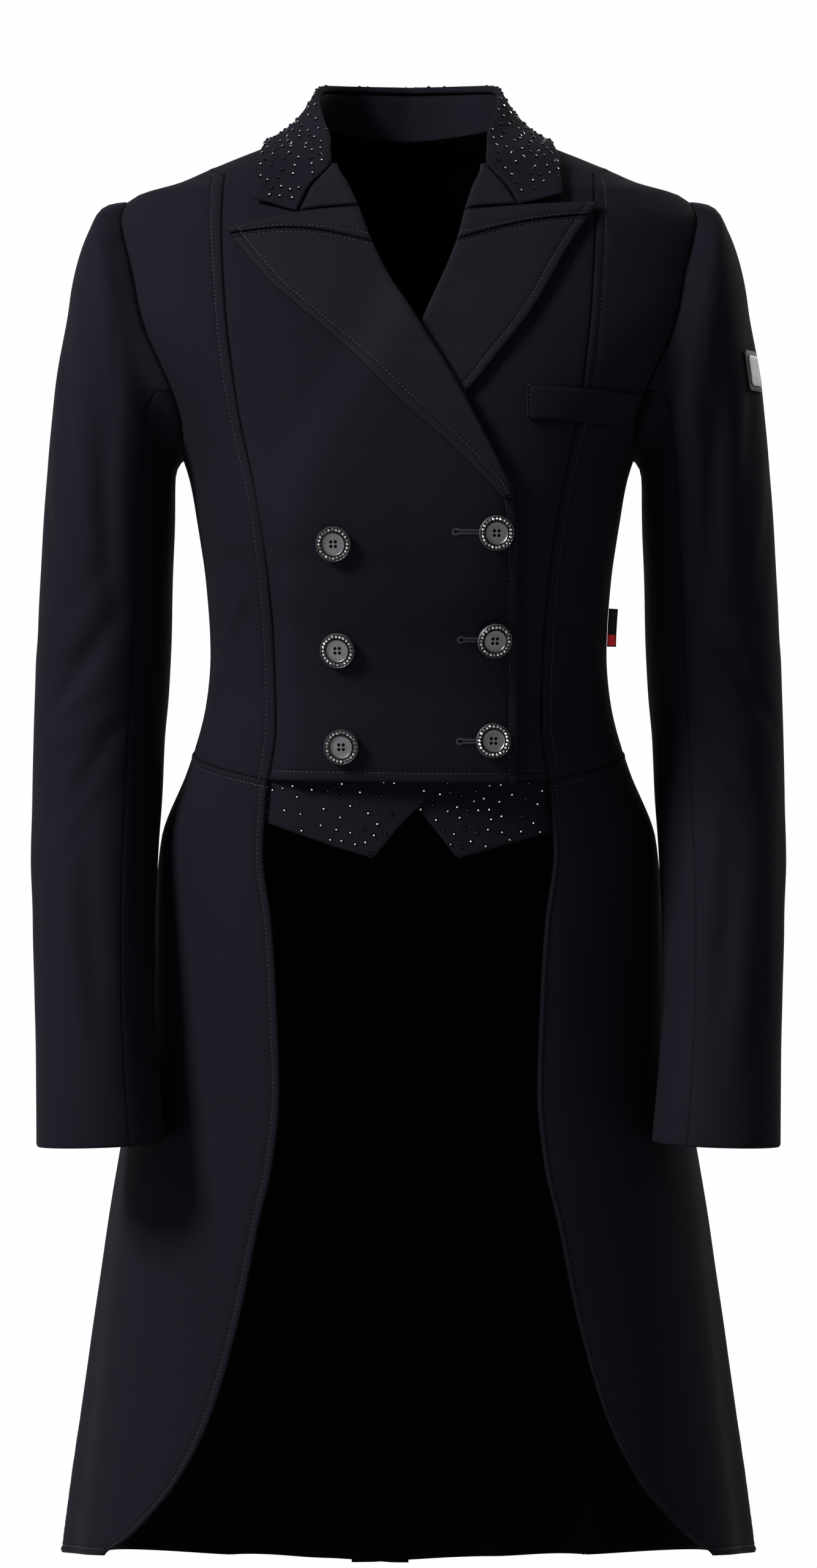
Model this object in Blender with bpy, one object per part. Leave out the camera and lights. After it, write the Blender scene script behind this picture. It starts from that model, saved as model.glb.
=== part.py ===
"""A shadbelly, the double-breasted riding tailcoat, as it hangs when it is worn.

World units are metres, +Z up, +X to the wearer's left, and the front faces -Y.
The origin is between the shoulders, where the wearer carries the coat.
Inside this script lengths are millimetres, and `drop` is a length below the origin.
A `turn` is an angle about the body in degrees: 0 in front, 90 at the wearer's left
side, 180 at the centre back. Every panel is a sheet laid on one body form and
given its wall, and whatever lies on a panel is laid on the same form, further out.
"""

import math

import bmesh
import bpy
from mathutils import Vector

MM = 0.001
WALL = 2.0        # one layer of cloth with its lining
LAID = 1.8        # a layer that lies on another
GAP = 0.3         # between neighbours
REST = 1.15       # under a layer that lies on another
LAP_LIFT = 6.2    # outer face of the lapped front, over the front and lapel below it
VENT_LIFT = 3.0   # outer face of the back that laps over the other at the vent
RIGHT, LEFT = -1, 1

CLOTH = ("riding cloth", (0.012, 0.013, 0.019, 1.0), 0.82, 0.0)
METAL = ("button metal", (0.10, 0.10, 0.12, 1.0), 0.35, 0.8)
TRIM = ("black trim", (0.006, 0.006, 0.008, 1.0), 0.6, 0.0)
PLATE = ("badge plate", (0.45, 0.45, 0.47, 1.0), 0.3, 0.9)


class Table:
    """Rows under named columns; each column is a smooth curve against the first."""

    def __init__(self, names, *rows):
        self.names = names.split()
        self.keys = [row[0] for row in rows]
        self.values = {name: [row[i] for row in rows]
                       for i, name in enumerate(self.names)}
        self.slopes = {name: self._slopes(self.values[name]) for name in self.names}

    def _slopes(self, values):
        """Slopes at the rows that keep the curve from overshooting them."""
        widths = [b - a for a, b in zip(self.keys, self.keys[1:])]
        steps = [(b - a) / w for a, b, w in zip(values, values[1:], widths)]
        inner = [0.0 if a * b <= 0 else 2 * a * b / (a + b)
                 for a, b in zip(steps, steps[1:])]
        return [steps[0], *inner, steps[-1]]

    def at(self, name, key):
        keys, values, slopes = self.keys, self.values[name], self.slopes[name]
        key = min(max(key, keys[0]), keys[-1])
        i = max(k for k in range(len(keys) - 1) if keys[k] <= key)
        width = keys[i + 1] - keys[i]
        t = (key - keys[i]) / width
        rise = t * t * (3 - 2 * t)
        return (values[i] * (1 - rise) + values[i + 1] * rise
                + width * t * (1 - t) * ((1 - t) * slopes[i] - t * slopes[i + 1]))


# Level sections of the worn form: half width, reach to the front and to the back of
# `middle`, and how square the oval is.
BODY = Table(
    "drop half front back middle square",
    (-22, 62, 31, 48, 14, 2.0),
    (-10, 80, 40, 60, 11, 2.0),
    (0, 98, 47, 76, 7, 2.0),
    (8, 117, 54, 86, 4, 2.0),
    (17, 138, 60, 93, 2, 2.05),
    (25, 156, 64, 97, 1, 2.1),
    (34, 185, 69, 101, 0, 2.1),
    (54, 205, 83, 107, 0, 2.2),
    (81, 210, 96, 112, 0, 2.25),
    (106, 211, 106, 114, 0, 2.3),
    (125, 207, 113, 115, 0, 2.35),
    (143, 198, 118, 115, 0, 2.4),
    (163, 184, 124, 114, 0, 2.4),
    (188, 166, 129, 112, 0, 2.4),
    (212, 153.5, 132, 108, 0, 2.4),
    (228, 148.5, 134, 106, 0, 2.4),
    (254, 144, 135, 102, 0, 2.4),
    (300, 137, 129, 93, 0, 2.35),
    (345, 134.5, 115, 86, 0, 2.3),
    (379, 137.5, 109, 90, 1, 2.3),
    (421, 149, 110, 100, 6, 2.3),
    (471, 169, 124, 112, 22, 2.25),
    (540, 176, 142, 124, 36, 2.25),
    (610, 184, 154, 128, 46, 2.25),
    (683, 198, 162, 132, 52, 2.2),
    (780, 211, 164, 138, 52, 2.2),
    (880, 223, 168, 146, 50, 2.2),
    (985, 236, 172, 158, 48, 2.2),
)
# Fullness over the princess seams, and soft flutes in the skirts.
BUST = {"turn": 36.0, "drop": 236.0, "wide": 20.0, "tall": 62.0, "deep": 6.0}
FLUTES = Table(
    "drop deep",
    (500, 0.0),
    (640, 1.5),
    (800, 4.0),
    (985, 7.5),
)
FLUTE_SPACING = 27.0

# The open edge of each front, from the centre towards its own side: the neck, the
# roll line, then the straight edge past the centre.
EDGE = {
    RIGHT: Table(
        "drop across",
        (-16, 66),
        (3, 60),
        (20, 47.5),
        (39, 37),
        (74, 23.5),
        (95, 13.5),
        (131, -8),
        (179, -37),
        (216, -55.5),
        (246, -68.5),
        (270, -71),
        (436, -71.5),
    ),
    LEFT: Table(
        "drop across",
        (-16, 66),
        (3, 60),
        (20, 49),
        (39, 41),
        (74, 31.5),
        (95, 23),
        (116, 13.5),
        (131, 7),
        (179, -25),
        (216, -46),
        (246, -62),
        (270, -69),
        (436, -70),
    ),
}
PRINCESS = Table(
    "drop across",
    (11, 124),
    (56, 125),
    (108, 122.5),
    (180, 114),
    (245, 101),
    (300, 93),
    (345, 89.5),
    (395, 88.5),
    (436, 94),
)
SIDE_SEAM = Table(
    "drop turn",
    (213, 90),
    (300, 88),
    (436, 87),
)
SIDE_BACK_SEAM = Table(
    "drop turn",
    (126, 108.5),
    (160, 118),
    (200, 127),
    (250, 135),
    (300, 141),
    (358, 146),
    (410, 147),
    (560, 142),
    (700, 139),
    (985, 136),
)
TAIL_EDGE = Table(
    "drop across",
    (431, 94),
    (480, 97),
    (522, 91.5),
    (563, 88.5),
    (640, 86),
    (684, 90),
    (728, 100),
    (778, 110),
    (820, 121),
    (862, 135),
    (898, 154),
    (922, 173),
    (941, 191),
    (953, 208),
)
WAIST = {"front": 431, "side": 411, "back": 404}
HEM = Table(
    "turn drop",
    (60, 953),
    (90, 966),
    (136, 981),
    (180, 990),
)
ARMHOLE = {"middle": 126.0, "tall": 88.0, "fore": 68.0, "aft": 64.0,
           "scoop_fore": 0.35, "scoop_aft": 0.12, "power": 0.85}
VENT = {"top": 412.0, "lap": 40.0}

# Sleeve sections down the arm: outermost and innermost point, middle along Y, and
# half the depth.
SLEEVE = Table(
    "station out out_drop inner inner_drop middle deep",
    (0, 198, 38, 152.5, 214, 0, 70),
    (1, 236, 44, 156, 214, 0, 72),
    (2, 227, 66, 157.5, 218, 0, 73),
    (3, 231, 108, 158.5, 227, 1, 74),
    (4, 241, 171, 159, 252, 4, 72),
    (5, 247, 233, 160.5, 296, 7, 69),
    (6, 251, 300, 162, 342, 9, 66),
    (7, 254, 358, 163.5, 374, 9, 63),
    (8, 255, 400, 166, 405, 6, 60),
    (9, 256, 442, 168, 444, 0, 57),
    (10, 256, 483, 170, 485, -13, 55),
    (11, 254, 525, 171, 527, -27, 53),
    (12, 252, 567, 171, 569, -39, 51),
    (13, 250.5, 607, 169, 608, -50, 49),
    (14, 249.5, 645, 166, 644, -59, 48),
    (15, 249, 675.5, 163, 672.5, -65, 47),
)
UNDER_SLEEVE = (120.0, 240.0)   # where the under sleeve lies, in degrees round the arm
# Creases of the sleeves: along the arm from one station to another, round the arm
# from one angle to another, half width and depth.
SCYE_CENTRE = Vector((185, 0, -126))
SLEEVE_SEAM = 0.5     # how far the sleeve stands off the armhole
SLEEVE_SWELL = 6.0
CREASES = Table(
    "start end from_round to_round wide deep",
    (2.2, 6.2, 62, 104, 11, 3.2),
    (2.8, 5.6, 20, 60, 10, 2.0),
    (5.6, 7.4, 112, 52, 9, 3.4),
    (6.4, 8.0, 96, 28, 9, 3.0),
    (7.4, 9.4, 118, 64, 9, 2.6),
    (9.0, 13.0, 84, 102, 10, 2.4),
)

# The collar from its front end round to the centre back: the fold, then where the
# outer edge lies on the body form. Up to the gorge it lies flat on the front.
COLLAR = Table(
    "station fold_x fold_y fold_z edge_turn edge_drop",
    (0, 74.5, -78, -52, 57, 45),
    (1, 66.5, -68, -33, 61, 31),
    (2, 51.5, -54, -15, 67.5, 17),
    (3, 54, -36, 3, 73.5, 8),
    (4, 59.5, -14, 20, 81, 2),
    (5, 63, 8, 35, 93, -1),
    (6, 60, 31, 45, 112, -2),
    (7, 47, 53, 48, 132, -3),
    (8, 26, 67, 49, 155, -3),
    (9, 0, 72, 49, 180, -3),
)
FRONT_END = {RIGHT: 0.0, LEFT: 0.24}
GORGE_STATION = 2
STAND_STATION = 4.8
LIP = 5.0         # how far the collar's roll reaches down inside
FALL_STEPS = 7
NECK_DROP = Table(
    "turn drop",
    (45, -16),
    (90, -20),
    (140, -15),
    (180, -12),
)

# Outer edge of each lapel from its peak to where it meets the front edge, from the
# centre towards its own side.
LAPEL_EDGE = {
    RIGHT: Table(
        "run across drop",
        (0, 121, 64),
        (1, 93, 100),
        (2, 46, 141),
        (3, 9.5, 179),
        (4, -26, 210),
        (5, -51, 235),
        (6, -60.5, 246),
    ),
    LEFT: Table(
        "run across drop",
        (0, 127, 46),
        (1, 107, 75),
        (2, 84, 117),
        (3, 60.5, 148),
        (4, 37, 177),
        (5, -14, 218),
        (6, -54, 246),
    ),
}
# The two seams across each lapel: where each starts on the roll line, how far along
# the outer edge it ends, and how much it bows up between.
LAPEL_SEAMS = {
    RIGHT: Table(
        "seam roll_drop run bow",
        (0, 48.5, 0.0, 2.5),
        (1, 74.0, 0.11, 6.0),
    ),
    LEFT: Table(
        "seam roll_drop run bow",
        (0, 51.0, 0.0, 0.5),
        (1, 72.0, 0.33, 3.0),
    ),
}
GORGE = Table(
    "drop across",
    (17, 49.5),
    (34, 64.3),
    (44, 69.3),
    (51.5, 72.3),
)

BUTTON = {"wide": 23.0, "thick": 3.6, "rim": 2.6, "dish": 1.3, "hole": 2.4,
          "hole_circle": 5.6, "shank": 1.2, "shank_wide": 5.0}
BUTTON_PLACES = (
    ("button_1_right", -48, 274),
    ("button_2_right", -45, 343),
    ("button_3_right", -43, 408),
    ("button_1_left", 56, 267),
    ("button_2_left", 54.5, 336),
    ("button_3_left", 54, 404),
)
WELT = {"left": 77.0, "top": 170.0, "bottom": 193.0, "slope": 0.04, "inset": 2.5,
        "rest": 0.7}
VEST_TOP = 404.0
VEST_RIGHT = ((-118, 453), (-91, 461), (-56, 473), (-23.5, 483), (-8, 464), (17.5, 438),
              (40, 413))
VEST_LEFT = ((-22, 414), (7.5, 451), (33.5, 483), (66, 474), (99, 465), (118, 459))
BADGE = {"drop": 155.0, "round": 30.0, "wide": 24.0, "tall": 27.0, "frame": 3.4,
         "arm_radius": 62.0, "thick": 1.2, "plate": 0.9}
LABEL = {"drop": 314.0, "tall": 26.0, "wide": 6.2, "thick": 0.8}


def blend(edge0, edge1, value):
    """0 below edge0, 1 above edge1, smooth between."""
    t = min(max((value - edge0) / (edge1 - edge0), 0.0), 1.0)
    return t * t * (3 - 2 * t)


def spans(*stretches):
    """Places along an edge: each stretch is its start, its end and its steps."""
    places = [stretches[0][0]]
    for start, end, steps in stretches:
        places += [start + (end - start) * k / steps for k in range(1, steps + 1)]
    return places


def mix(a, b, share):
    return a + (b - a) * share


def reach(turn, drop):
    """Distance of the form from its middle, at a turn in degrees."""
    turn = abs(turn)
    turn = min(turn, 360 - turn)
    angle = math.radians(turn)
    half = BODY.at("half", drop)
    depth = BODY.at("front" if math.cos(angle) > 0 else "back", drop)
    power = BODY.at("square", drop)
    oval = (abs(math.sin(angle) / half) ** power
            + abs(math.cos(angle) / depth) ** power) ** (-1 / power)
    bust = BUST["deep"] * math.exp(-((turn - BUST["turn"]) / BUST["wide"]) ** 2
                                   - ((drop - BUST["drop"]) / BUST["tall"]) ** 2)
    flute = FLUTES.at("deep", drop) * math.cos(
        math.tau * (turn - 118) / FLUTE_SPACING) if drop > 500 else 0.0
    return oval + bust + flute * blend(70, 95, turn) * (1 - blend(148, 164, turn))


def bare_point(turn, drop):
    angle = math.radians(turn)
    length = reach(turn, drop)
    return Vector((length * math.sin(angle),
                   BODY.at("middle", drop) - length * math.cos(angle), -drop))


def outward(turn, drop):
    """The form's own direction outwards, the same for every piece that lies there."""
    round_it = bare_point(turn + 0.6, drop) - bare_point(turn - 0.6, drop)
    down_it = bare_point(turn, drop + 1.5) - bare_point(turn, drop - 1.5)
    return down_it.cross(round_it).normalized()


def body_point(turn, drop, lift=0.0):
    return bare_point(turn, drop) + outward(turn, drop) * lift


def turn_at(across, drop):
    """The turn, on the front, at which the form lies that far to one side."""
    low, high = 0.0, 90.0
    for _ in range(36):
        middle = (low + high) / 2
        if bare_point(middle, drop).x < abs(across):
            low = middle
        else:
            high = middle
    return math.copysign(low, across)


def waist_drop(turn):
    """Height of the waist seam, straight between the seams that it crosses."""
    front = turn_at(PRINCESS.at("across", WAIST["front"]), WAIST["front"])
    side = SIDE_SEAM.at("turn", WAIST["side"])
    back = SIDE_BACK_SEAM.at("turn", WAIST["back"])
    if turn < side:
        return mix(WAIST["front"], WAIST["side"], (turn - front) / (side - front))
    return mix(WAIST["side"], WAIST["back"], (turn - side) / (back - side))


def armhole(clock):
    """(turn, drop) on the left armhole: 0 at the shoulder, 90 in front, -90 behind."""
    cosine = math.cos(math.radians(clock))
    sine = abs(math.sin(math.radians(clock))) ** ARMHOLE["power"]
    drop = ARMHOLE["middle"] - ARMHOLE["tall"] * cosine
    side = "fore" if clock > 0 else "aft"
    depth = ARMHOLE[side] * sine * (1 - ARMHOLE["scoop_" + side] * cosine)
    reach_y = BODY.at("front" if clock > 0 else "back", drop)
    power = BODY.at("square", drop)
    across = BODY.at("half", drop) * (1 - (depth / reach_y) ** power) ** (1 / power)
    forward = depth if clock > 0 else -depth
    return math.degrees(math.atan2(across, forward + BODY.at("middle", drop))), drop


def lap_lift(turn, drop):
    """How far the right front lies out, to pass over the left front and its lapel."""
    across = bare_point(turn, drop).x
    edge = EDGE[LEFT].at("across", drop)
    start = max(edge - 45, -PRINCESS.at("across", drop))
    return LAP_LIFT * blend(start, edge - 3, across) * blend(80, 112, drop)


def vent_lift(turn, drop):
    return VENT_LIFT * blend(378, 400, drop) * blend(158, 171, turn)


def material(name, colour, roughness, metallic):
    found = bpy.data.materials.get(name)
    if found:
        return found
    made = bpy.data.materials.new(name)
    made.use_nodes = True
    shader = made.node_tree.nodes["Principled BSDF"]
    shader.inputs["Base Color"].default_value = colour
    shader.inputs["Roughness"].default_value = roughness
    shader.inputs["Metallic"].default_value = metallic
    return made


def add_object(name, mesh, finish):
    mesh.materials.append(material(*finish))
    mesh.shade_smooth()
    mesh.set_sharp_from_angle(angle=math.radians(40))
    made = bpy.data.objects.new(name, mesh)
    COAT.objects.link(made)
    return made


def sheet(name, outer, inner, finish=CLOTH):
    """A wall between two grids of points, closed round its edge."""
    rows, columns = len(outer), len(outer[0])
    shell = bmesh.new()
    faces = [[[shell.verts.new(point * MM) for point in row] for row in grid]
             for grid in (outer, inner)]
    for i in range(rows - 1):
        for j in range(columns - 1):
            for grid, step in ((faces[0], 1), (faces[1], -1)):
                corners = (grid[i][j], grid[i + 1][j], grid[i + 1][j + 1], grid[i][j + 1])
                shell.faces.new(corners[::step])
    rim = ([(i, 0) for i in range(rows)]
           + [(rows - 1, j) for j in range(1, columns)]
           + [(i, columns - 1) for i in range(rows - 2, -1, -1)]
           + [(0, j) for j in range(columns - 2, 0, -1)])
    for (i, j), (k, m) in zip(rim, rim[1:] + rim[:1]):
        shell.faces.new((faces[0][k][m], faces[0][i][j], faces[1][i][j], faces[1][k][m]))
    bmesh.ops.recalc_face_normals(shell, faces=shell.faces)
    mesh = bpy.data.meshes.new(name)
    shell.to_mesh(mesh)
    shell.free()
    return add_object(name, mesh, finish)


def walled(points, thickness):
    """The grid's inner side, one wall's thickness behind it."""
    rows, columns = len(points), len(points[0])
    behind = []
    for i in range(rows):
        line = []
        for j in range(columns):
            down = points[min(i + 1, rows - 1)][j] - points[max(i - 1, 0)][j]
            along = points[i][min(j + 1, columns - 1)] - points[i][max(j - 1, 0)]
            line.append(points[i][j] - down.cross(along).normalized() * thickness)
        behind.append(line)
    return behind


def mirrored(points):
    return [[Vector((-p.x, p.y, p.z)) for p in row] for row in points]


def on_body(places, lift, thickness=WALL):
    """Outer and inner points over a grid of (turn, drop)."""
    outer = [[body_point(t, d, lift(t, d)) for t, d in row] for row in places]
    inner = [[body_point(t, d, lift(t, d) - thickness) for t, d in row]
             for row in places]
    return outer, inner


def flat(_turn, _drop):
    return 0.0


def between(first, last, columns):
    """Rows of (turn, drop) from one edge to the other, half a gap short of each."""
    rows = []
    for (turn0, drop0), (turn1, drop1) in zip(first, last):
        trim0 = math.degrees(GAP / 2 / reach(turn0, drop0))
        trim1 = math.degrees(GAP / 2 / reach(turn1, drop1))
        step = math.copysign(1, turn1 - turn0)
        turn0, turn1 = turn0 + step * trim0, turn1 - step * trim1
        rows.append([(mix(turn0, turn1, k / columns), mix(drop0, drop1, k / columns))
                     for k in range(columns + 1)])
    return rows


PRINCESS_STATIONS = spans((12, 40, 3), (40, 130, 5), (130, 250, 7), (250, 430.85, 8))
SIDE_STATIONS = spans((214, 410.85, 8))
SIDE_BACK_STATIONS = spans((126, 235, 6), (235, 403.85, 8))
CLOCK_STEP = 15


def scye(start, end):
    """Places along the armhole, at even clock steps."""
    count = round(abs(end - start) / CLOCK_STEP)
    return [armhole(mix(start, end, k / count)) for k in range(count + 1)]


def front_panel(side):
    """From the neck to the front hem, and from the open edge to the princess seam."""
    drops = spans((-15, 12, 3)) + PRINCESS_STATIONS[1:]
    first = [(turn_at(EDGE[side].at("across", d), d), d) for d in drops]
    last = [((turn_at(PRINCESS.at("across", d), d) if d > 12 else 90), d) for d in drops]
    hem = 433.0
    first[-1] = (turn_at(EDGE[side].at("across", hem), hem), hem)
    places = between(first, last, 10)
    if side == LEFT:
        return on_body(places, flat)
    outer, inner = on_body(places, lambda turn, drop: lap_lift(-turn, drop))
    return mirrored(outer), mirrored(inner)


def side_front_panel():
    """From the princess seam to the armhole and the side seam."""
    first = [(turn_at(PRINCESS.at("across", d), d), d) for d in PRINCESS_STATIONS]
    first[0] = (88.5, 12.4)
    shoulder = [(90, d) for d in spans((13, 38, 3))]
    side = [(SIDE_SEAM.at("turn", d), d) for d in SIDE_STATIONS[1:]]
    last = shoulder + scye(0, 180)[1:] + side
    return on_body(between(first, last, 6), flat)


def side_back_panel():
    """From the side seam to the side-back seam, under the armhole."""
    last = [(SIDE_BACK_SEAM.at("turn", d), d) for d in SIDE_BACK_STATIONS]
    first = scye(-90, -180) + [(SIDE_SEAM.at("turn", d), d) for d in SIDE_STATIONS[1:]]
    last[0] = tuple(mix(a, b, 0.2) for a, b in zip(first[0], last[1]))
    first[0] = armhole(-93)
    return on_body(between(first, last, 4), flat)


def back_panel(side):
    """From the neck to the hem, between the centre back and the side-back seam."""
    below = spans((412, HEM.at("drop", 136), 11))
    drops = spans((-12, 38, 4), (38, 126, 6)) + SIDE_BACK_STATIONS[1:] + below
    seam = [(SIDE_BACK_SEAM.at("turn", d), d) for d in drops[11:]]
    shoulder = [(90, d) for d in spans((-19.5, 38, 4))]
    centre_drops = drops[:-1] + [HEM.at("drop", 180)]
    places = between(shoulder + scye(0, -90)[1:] + seam,
                     [(180, d) for d in centre_drops], 6)
    if side == RIGHT:
        outer, inner = on_body(places, flat)
        return mirrored(outer), mirrored(inner)
    for row, drop in zip(places, centre_drops):
        lap = VENT["lap"] * blend(VENT["top"] - 8, VENT["top"] + 1, drop) + 0.1
        lap = math.degrees(lap / reach(180, drop))
        row += [(180 + lap * share, row[-1][1]) for share in (0.5, 1.0)]
    return on_body(places, vent_lift)


def skirt_panel():
    """Each column runs from the waist seam to the hem."""
    columns, rows = 10, 15
    front = turn_at(TAIL_EDGE.at("across", WAIST["front"]), WAIST["front"])
    back = SIDE_BACK_SEAM.at("turn", WAIST["back"])
    places = []
    for i in range(rows + 1):
        line = []
        for j in range(columns + 1):
            share = j / columns
            top = waist_drop(mix(front, back, share)) + GAP
            hem = mix(HEM.at("drop", 60), HEM.at("drop", 136), share)
            drop = mix(top, hem, i / rows)
            edge = turn_at(TAIL_EDGE.at("across", drop), drop)
            seam = SIDE_BACK_SEAM.at("turn", drop)
            seam -= math.degrees(GAP / reach(seam, drop))
            line.append((mix(edge, seam, share), drop))
        places.append(line)
    return on_body(places, flat)


def sleeve_ring(station, steps, start, end):
    """Points round one sleeve section: 0 is outermost, 90 in front, 180 innermost."""
    at = {name: SLEEVE.at(name, station) for name in SLEEVE.names}
    top = Vector((at["out"], 0, -at["out_drop"]))
    low = Vector((at["inner"], 0, -at["inner_drop"]))
    share = blend(0, 3, station)
    points = []
    for k in range(steps + 1):
        round_it = mix(start, end, k / steps)
        angle = math.radians(round_it)
        depth = at["deep"] * math.copysign(abs(math.sin(angle)) ** 0.92, math.sin(angle))
        arm = (top + low) / 2 + (top - low) / 2 * math.cos(angle)
        arm += Vector((0, at["middle"] - depth, 0))
        if share < 1:
            clock = round_it if round_it <= 180 else round_it - 360
            arm = body_point(*armhole(clock)).lerp(arm, share)
            arm += seam_step(arm, station, angle) * (1 - share)
        pull = sum(crease(row, station, round_it) for row in range(len(CREASES.keys)))
        centre = (top + low) / 2 + Vector((0, at["middle"], 0))
        points.append(arm + (centre - arm).normalized() * pull)
    return points


def seam_step(point, station, angle):
    """Keeps the sleeve off the armhole, and then outside it in front and behind."""
    inwards = SCYE_CENTRE - point
    inwards.x = 0
    swell = SLEEVE_SWELL * station * math.sin(angle) ** 2
    return inwards.normalized() * SLEEVE_SEAM + Vector((SLEEVE_SEAM + swell, 0, 0))


def crease(row, station, round_it):
    """Depth of one crease at a place on the sleeve."""
    at = {name: CREASES.values[name][row] for name in CREASES.names}
    along = (station - at["start"]) / (at["end"] - at["start"])
    if not 0 < along < 1:
        return 0.0
    line = mix(at["from_round"], at["to_round"], along)
    return (at["deep"] * math.sin(math.pi * along)
            * math.exp(-((round_it - line) / at["wide"]) ** 2))


def sleeve_piece(start, end):
    """One piece of the two-piece sleeve, from the armhole to the cuff."""
    steps = round((end - start) / CLOCK_STEP)
    start, end = start + 0.14, end - 0.14
    stations = spans((0, 3, 4), (3, 8, 6), (8, 15, 7))
    beyond = CLOCK_STEP
    wide = [sleeve_ring(s, steps + 2, start - beyond, end + beyond) for s in stations]
    outer = [row[1:-1] for row in wide]
    inner = [row[1:-1] for row in walled(wide, -WALL)]
    inner[0] = [point - outward(*armhole(c if c <= 180 else c - 360)) * WALL
                for point, c in zip(outer[0], (mix(start, end, k / steps)
                                               for k in range(steps + 1)))]
    return outer, inner


def collar_line(station, side):
    """Points across the collar, from inside the neck over the fold to its edge."""
    at = {name: COLLAR.at(name, station) for name in COLLAR.names}
    fold = Vector((at["fold_x"], at["fold_y"], at["fold_z"]))
    edge = body_point(at["edge_turn"], at["edge_drop"], REST + LAID + 0.5)
    away = (edge - fold).normalized()
    level = Vector((away.x, away.y, 0)).normalized()
    rolled = blend(GORGE_STATION, GORGE_STATION + 1.5, station)
    lip = [(-2.4, -LIP), (-2.2, -1.6), (0, 0), (2.2, -1.6)]
    points = []
    for k, (out, up) in enumerate(lip):
        standing = fold + level * out + Vector((0, 0, up))
        lying = raised(fold + away * (k * 1.2))
        points.append(lying.lerp(standing, rolled))
    start = points[-1]
    bow = -3.0 * rolled
    for k in range(1, FALL_STEPS + 1):
        share = k / FALL_STEPS
        point = start.lerp(edge, share)
        point += (Vector((0, 0, 1)) + level).normalized() * bow * math.sin(math.pi * share)
        points.append(raised(point))
    if side == RIGHT:
        points = [Vector((-p.x, p.y, p.z)) for p in points]
    return points


def raised(point):
    """The point, moved off the body form where it would be too near for a layer."""
    drop = -point.z
    if drop < -21:
        return point
    turn = math.degrees(math.atan2(point.x, BODY.at("middle", drop) - point.y))
    normal = outward(turn, drop)
    short = REST + LAID + 0.5 - (point - bare_point(turn, drop)).dot(normal)
    return point + normal * max(short, 0.0)


def collar():
    """The fall, with the roll at its fold, from one front end round to the other."""
    outer = [collar_line(s, RIGHT) for s in spans((FRONT_END[RIGHT], 9, 14))]
    outer += [collar_line(s, LEFT) for s in spans((9, FRONT_END[LEFT], 14))[1:]]
    return outer, walled(outer, LAID)


def collar_stand():
    """The band that stands inside the neck, under the fold."""
    outer = []
    stations = spans((STAND_STATION, 9, 8))
    for side, row in ([(RIGHT, s) for s in stations]
                      + [(LEFT, s) for s in reversed(stations[:-1])]):
        top = collar_line(row, LEFT)[0] - Vector((0, 0, REST))
        turn = math.degrees(math.atan2(abs(top.x), BODY.at("middle", -18) - top.y))
        turn = max(turn, 60)
        foot = body_point(turn, NECK_DROP.at("drop", turn) - GAP - 1.2)
        line = [foot.lerp(top, k / 3) for k in range(4)]
        outer.append([Vector((side * p.x, p.y, p.z)) for p in line])
    return outer, walled(outer, LAID)


def lapel_rows(side):
    """Rows of each lapel piece: roll end, outer end and how much the row bows up."""
    seams, edge = LAPEL_SEAMS[side], LAPEL_EDGE[side]

    def row(roll_drop, outer_end, bow):
        return (EDGE[side].at("across", roll_drop), roll_drop), outer_end, bow

    def seam(index, below):
        """A seam's row, a little above or below the seam itself."""
        drop, run = seams.values["roll_drop"][index], seams.values["run"][index]
        ends = edge.at("across", run), edge.at("drop", run) + below
        return row(drop + below, ends, seams.values["bow"][index])

    top_drop, band_drop = seams.values["roll_drop"]
    band_run = seams.values["run"][1]
    end = GORGE.values["across"][-1]
    roll_end = EDGE[side].at("across", top_drop)
    share = (end - roll_end) / (edge.at("across", 0) - roll_end)
    end_drop = (mix(top_drop, edge.at("drop", 0), share)
                - seams.values["bow"][0] * math.sin(math.pi * share) - 0.7)
    pieces = {"lapel_top": [row(17.5, (GORGE.at("across", 18), 18), 0),
                            row(mix(17.5, top_drop, 0.5), (GORGE.at("across", 35), 35), 0),
                            row(top_drop - 0.7, (end, end_drop), 0.8)]}
    first, last = seam(0, 0.0), seam(1, -0.25)
    middle = row(mix(top_drop, band_drop, 0.5),
                 (edge.at("across", band_run / 2), edge.at("drop", band_run / 2)),
                 (first[2] + last[2]) / 2)
    pieces["lapel_band"] = [first, middle, last]
    steps = 12
    main_rows = [seam(1, 0.25)]
    for k in range(1, steps + 1):
        share = k / steps
        run = mix(band_run, 6, share)
        main_rows.append(row(mix(band_drop, 243, share),
                             (edge.at("across", run), edge.at("drop", run)),
                             seams.values["bow"][1] * (1 - blend(0, 0.3, share))))
    pieces["lapel"] = main_rows
    return pieces


def lapel_piece(rows, side, columns):
    """A lapel lies on its own front."""
    places = []
    for (across0, drop0), (across1, drop1), bow in rows:
        line = []
        for k in range(columns + 1):
            share = k / columns
            drop = mix(drop0, drop1, share) - bow * math.sin(math.pi * share)
            line.append((turn_at(mix(across0, across1, share), drop), drop))
        places.append(line)

    def lift(turn, drop):
        return REST + LAID + (lap_lift(-turn, drop) if side == RIGHT else 0.0)

    outer, inner = on_body(places, lift, LAID)
    return (mirrored(outer), mirrored(inner)) if side == RIGHT else (outer, inner)


def vest_point(outline, layer):
    """A false waistcoat point, hung behind the fronts."""
    places = []
    for i in range(5):
        line = []
        for across, bottom in outline:
            drop = mix(VEST_TOP, bottom, i / 4)
            line.append((turn_at(across, drop), drop))
        places.append(line)
    depth = -(WALL + REST) - layer * (LAID + REST)
    return on_body(places, lambda _t, _d: depth, LAID)


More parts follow.
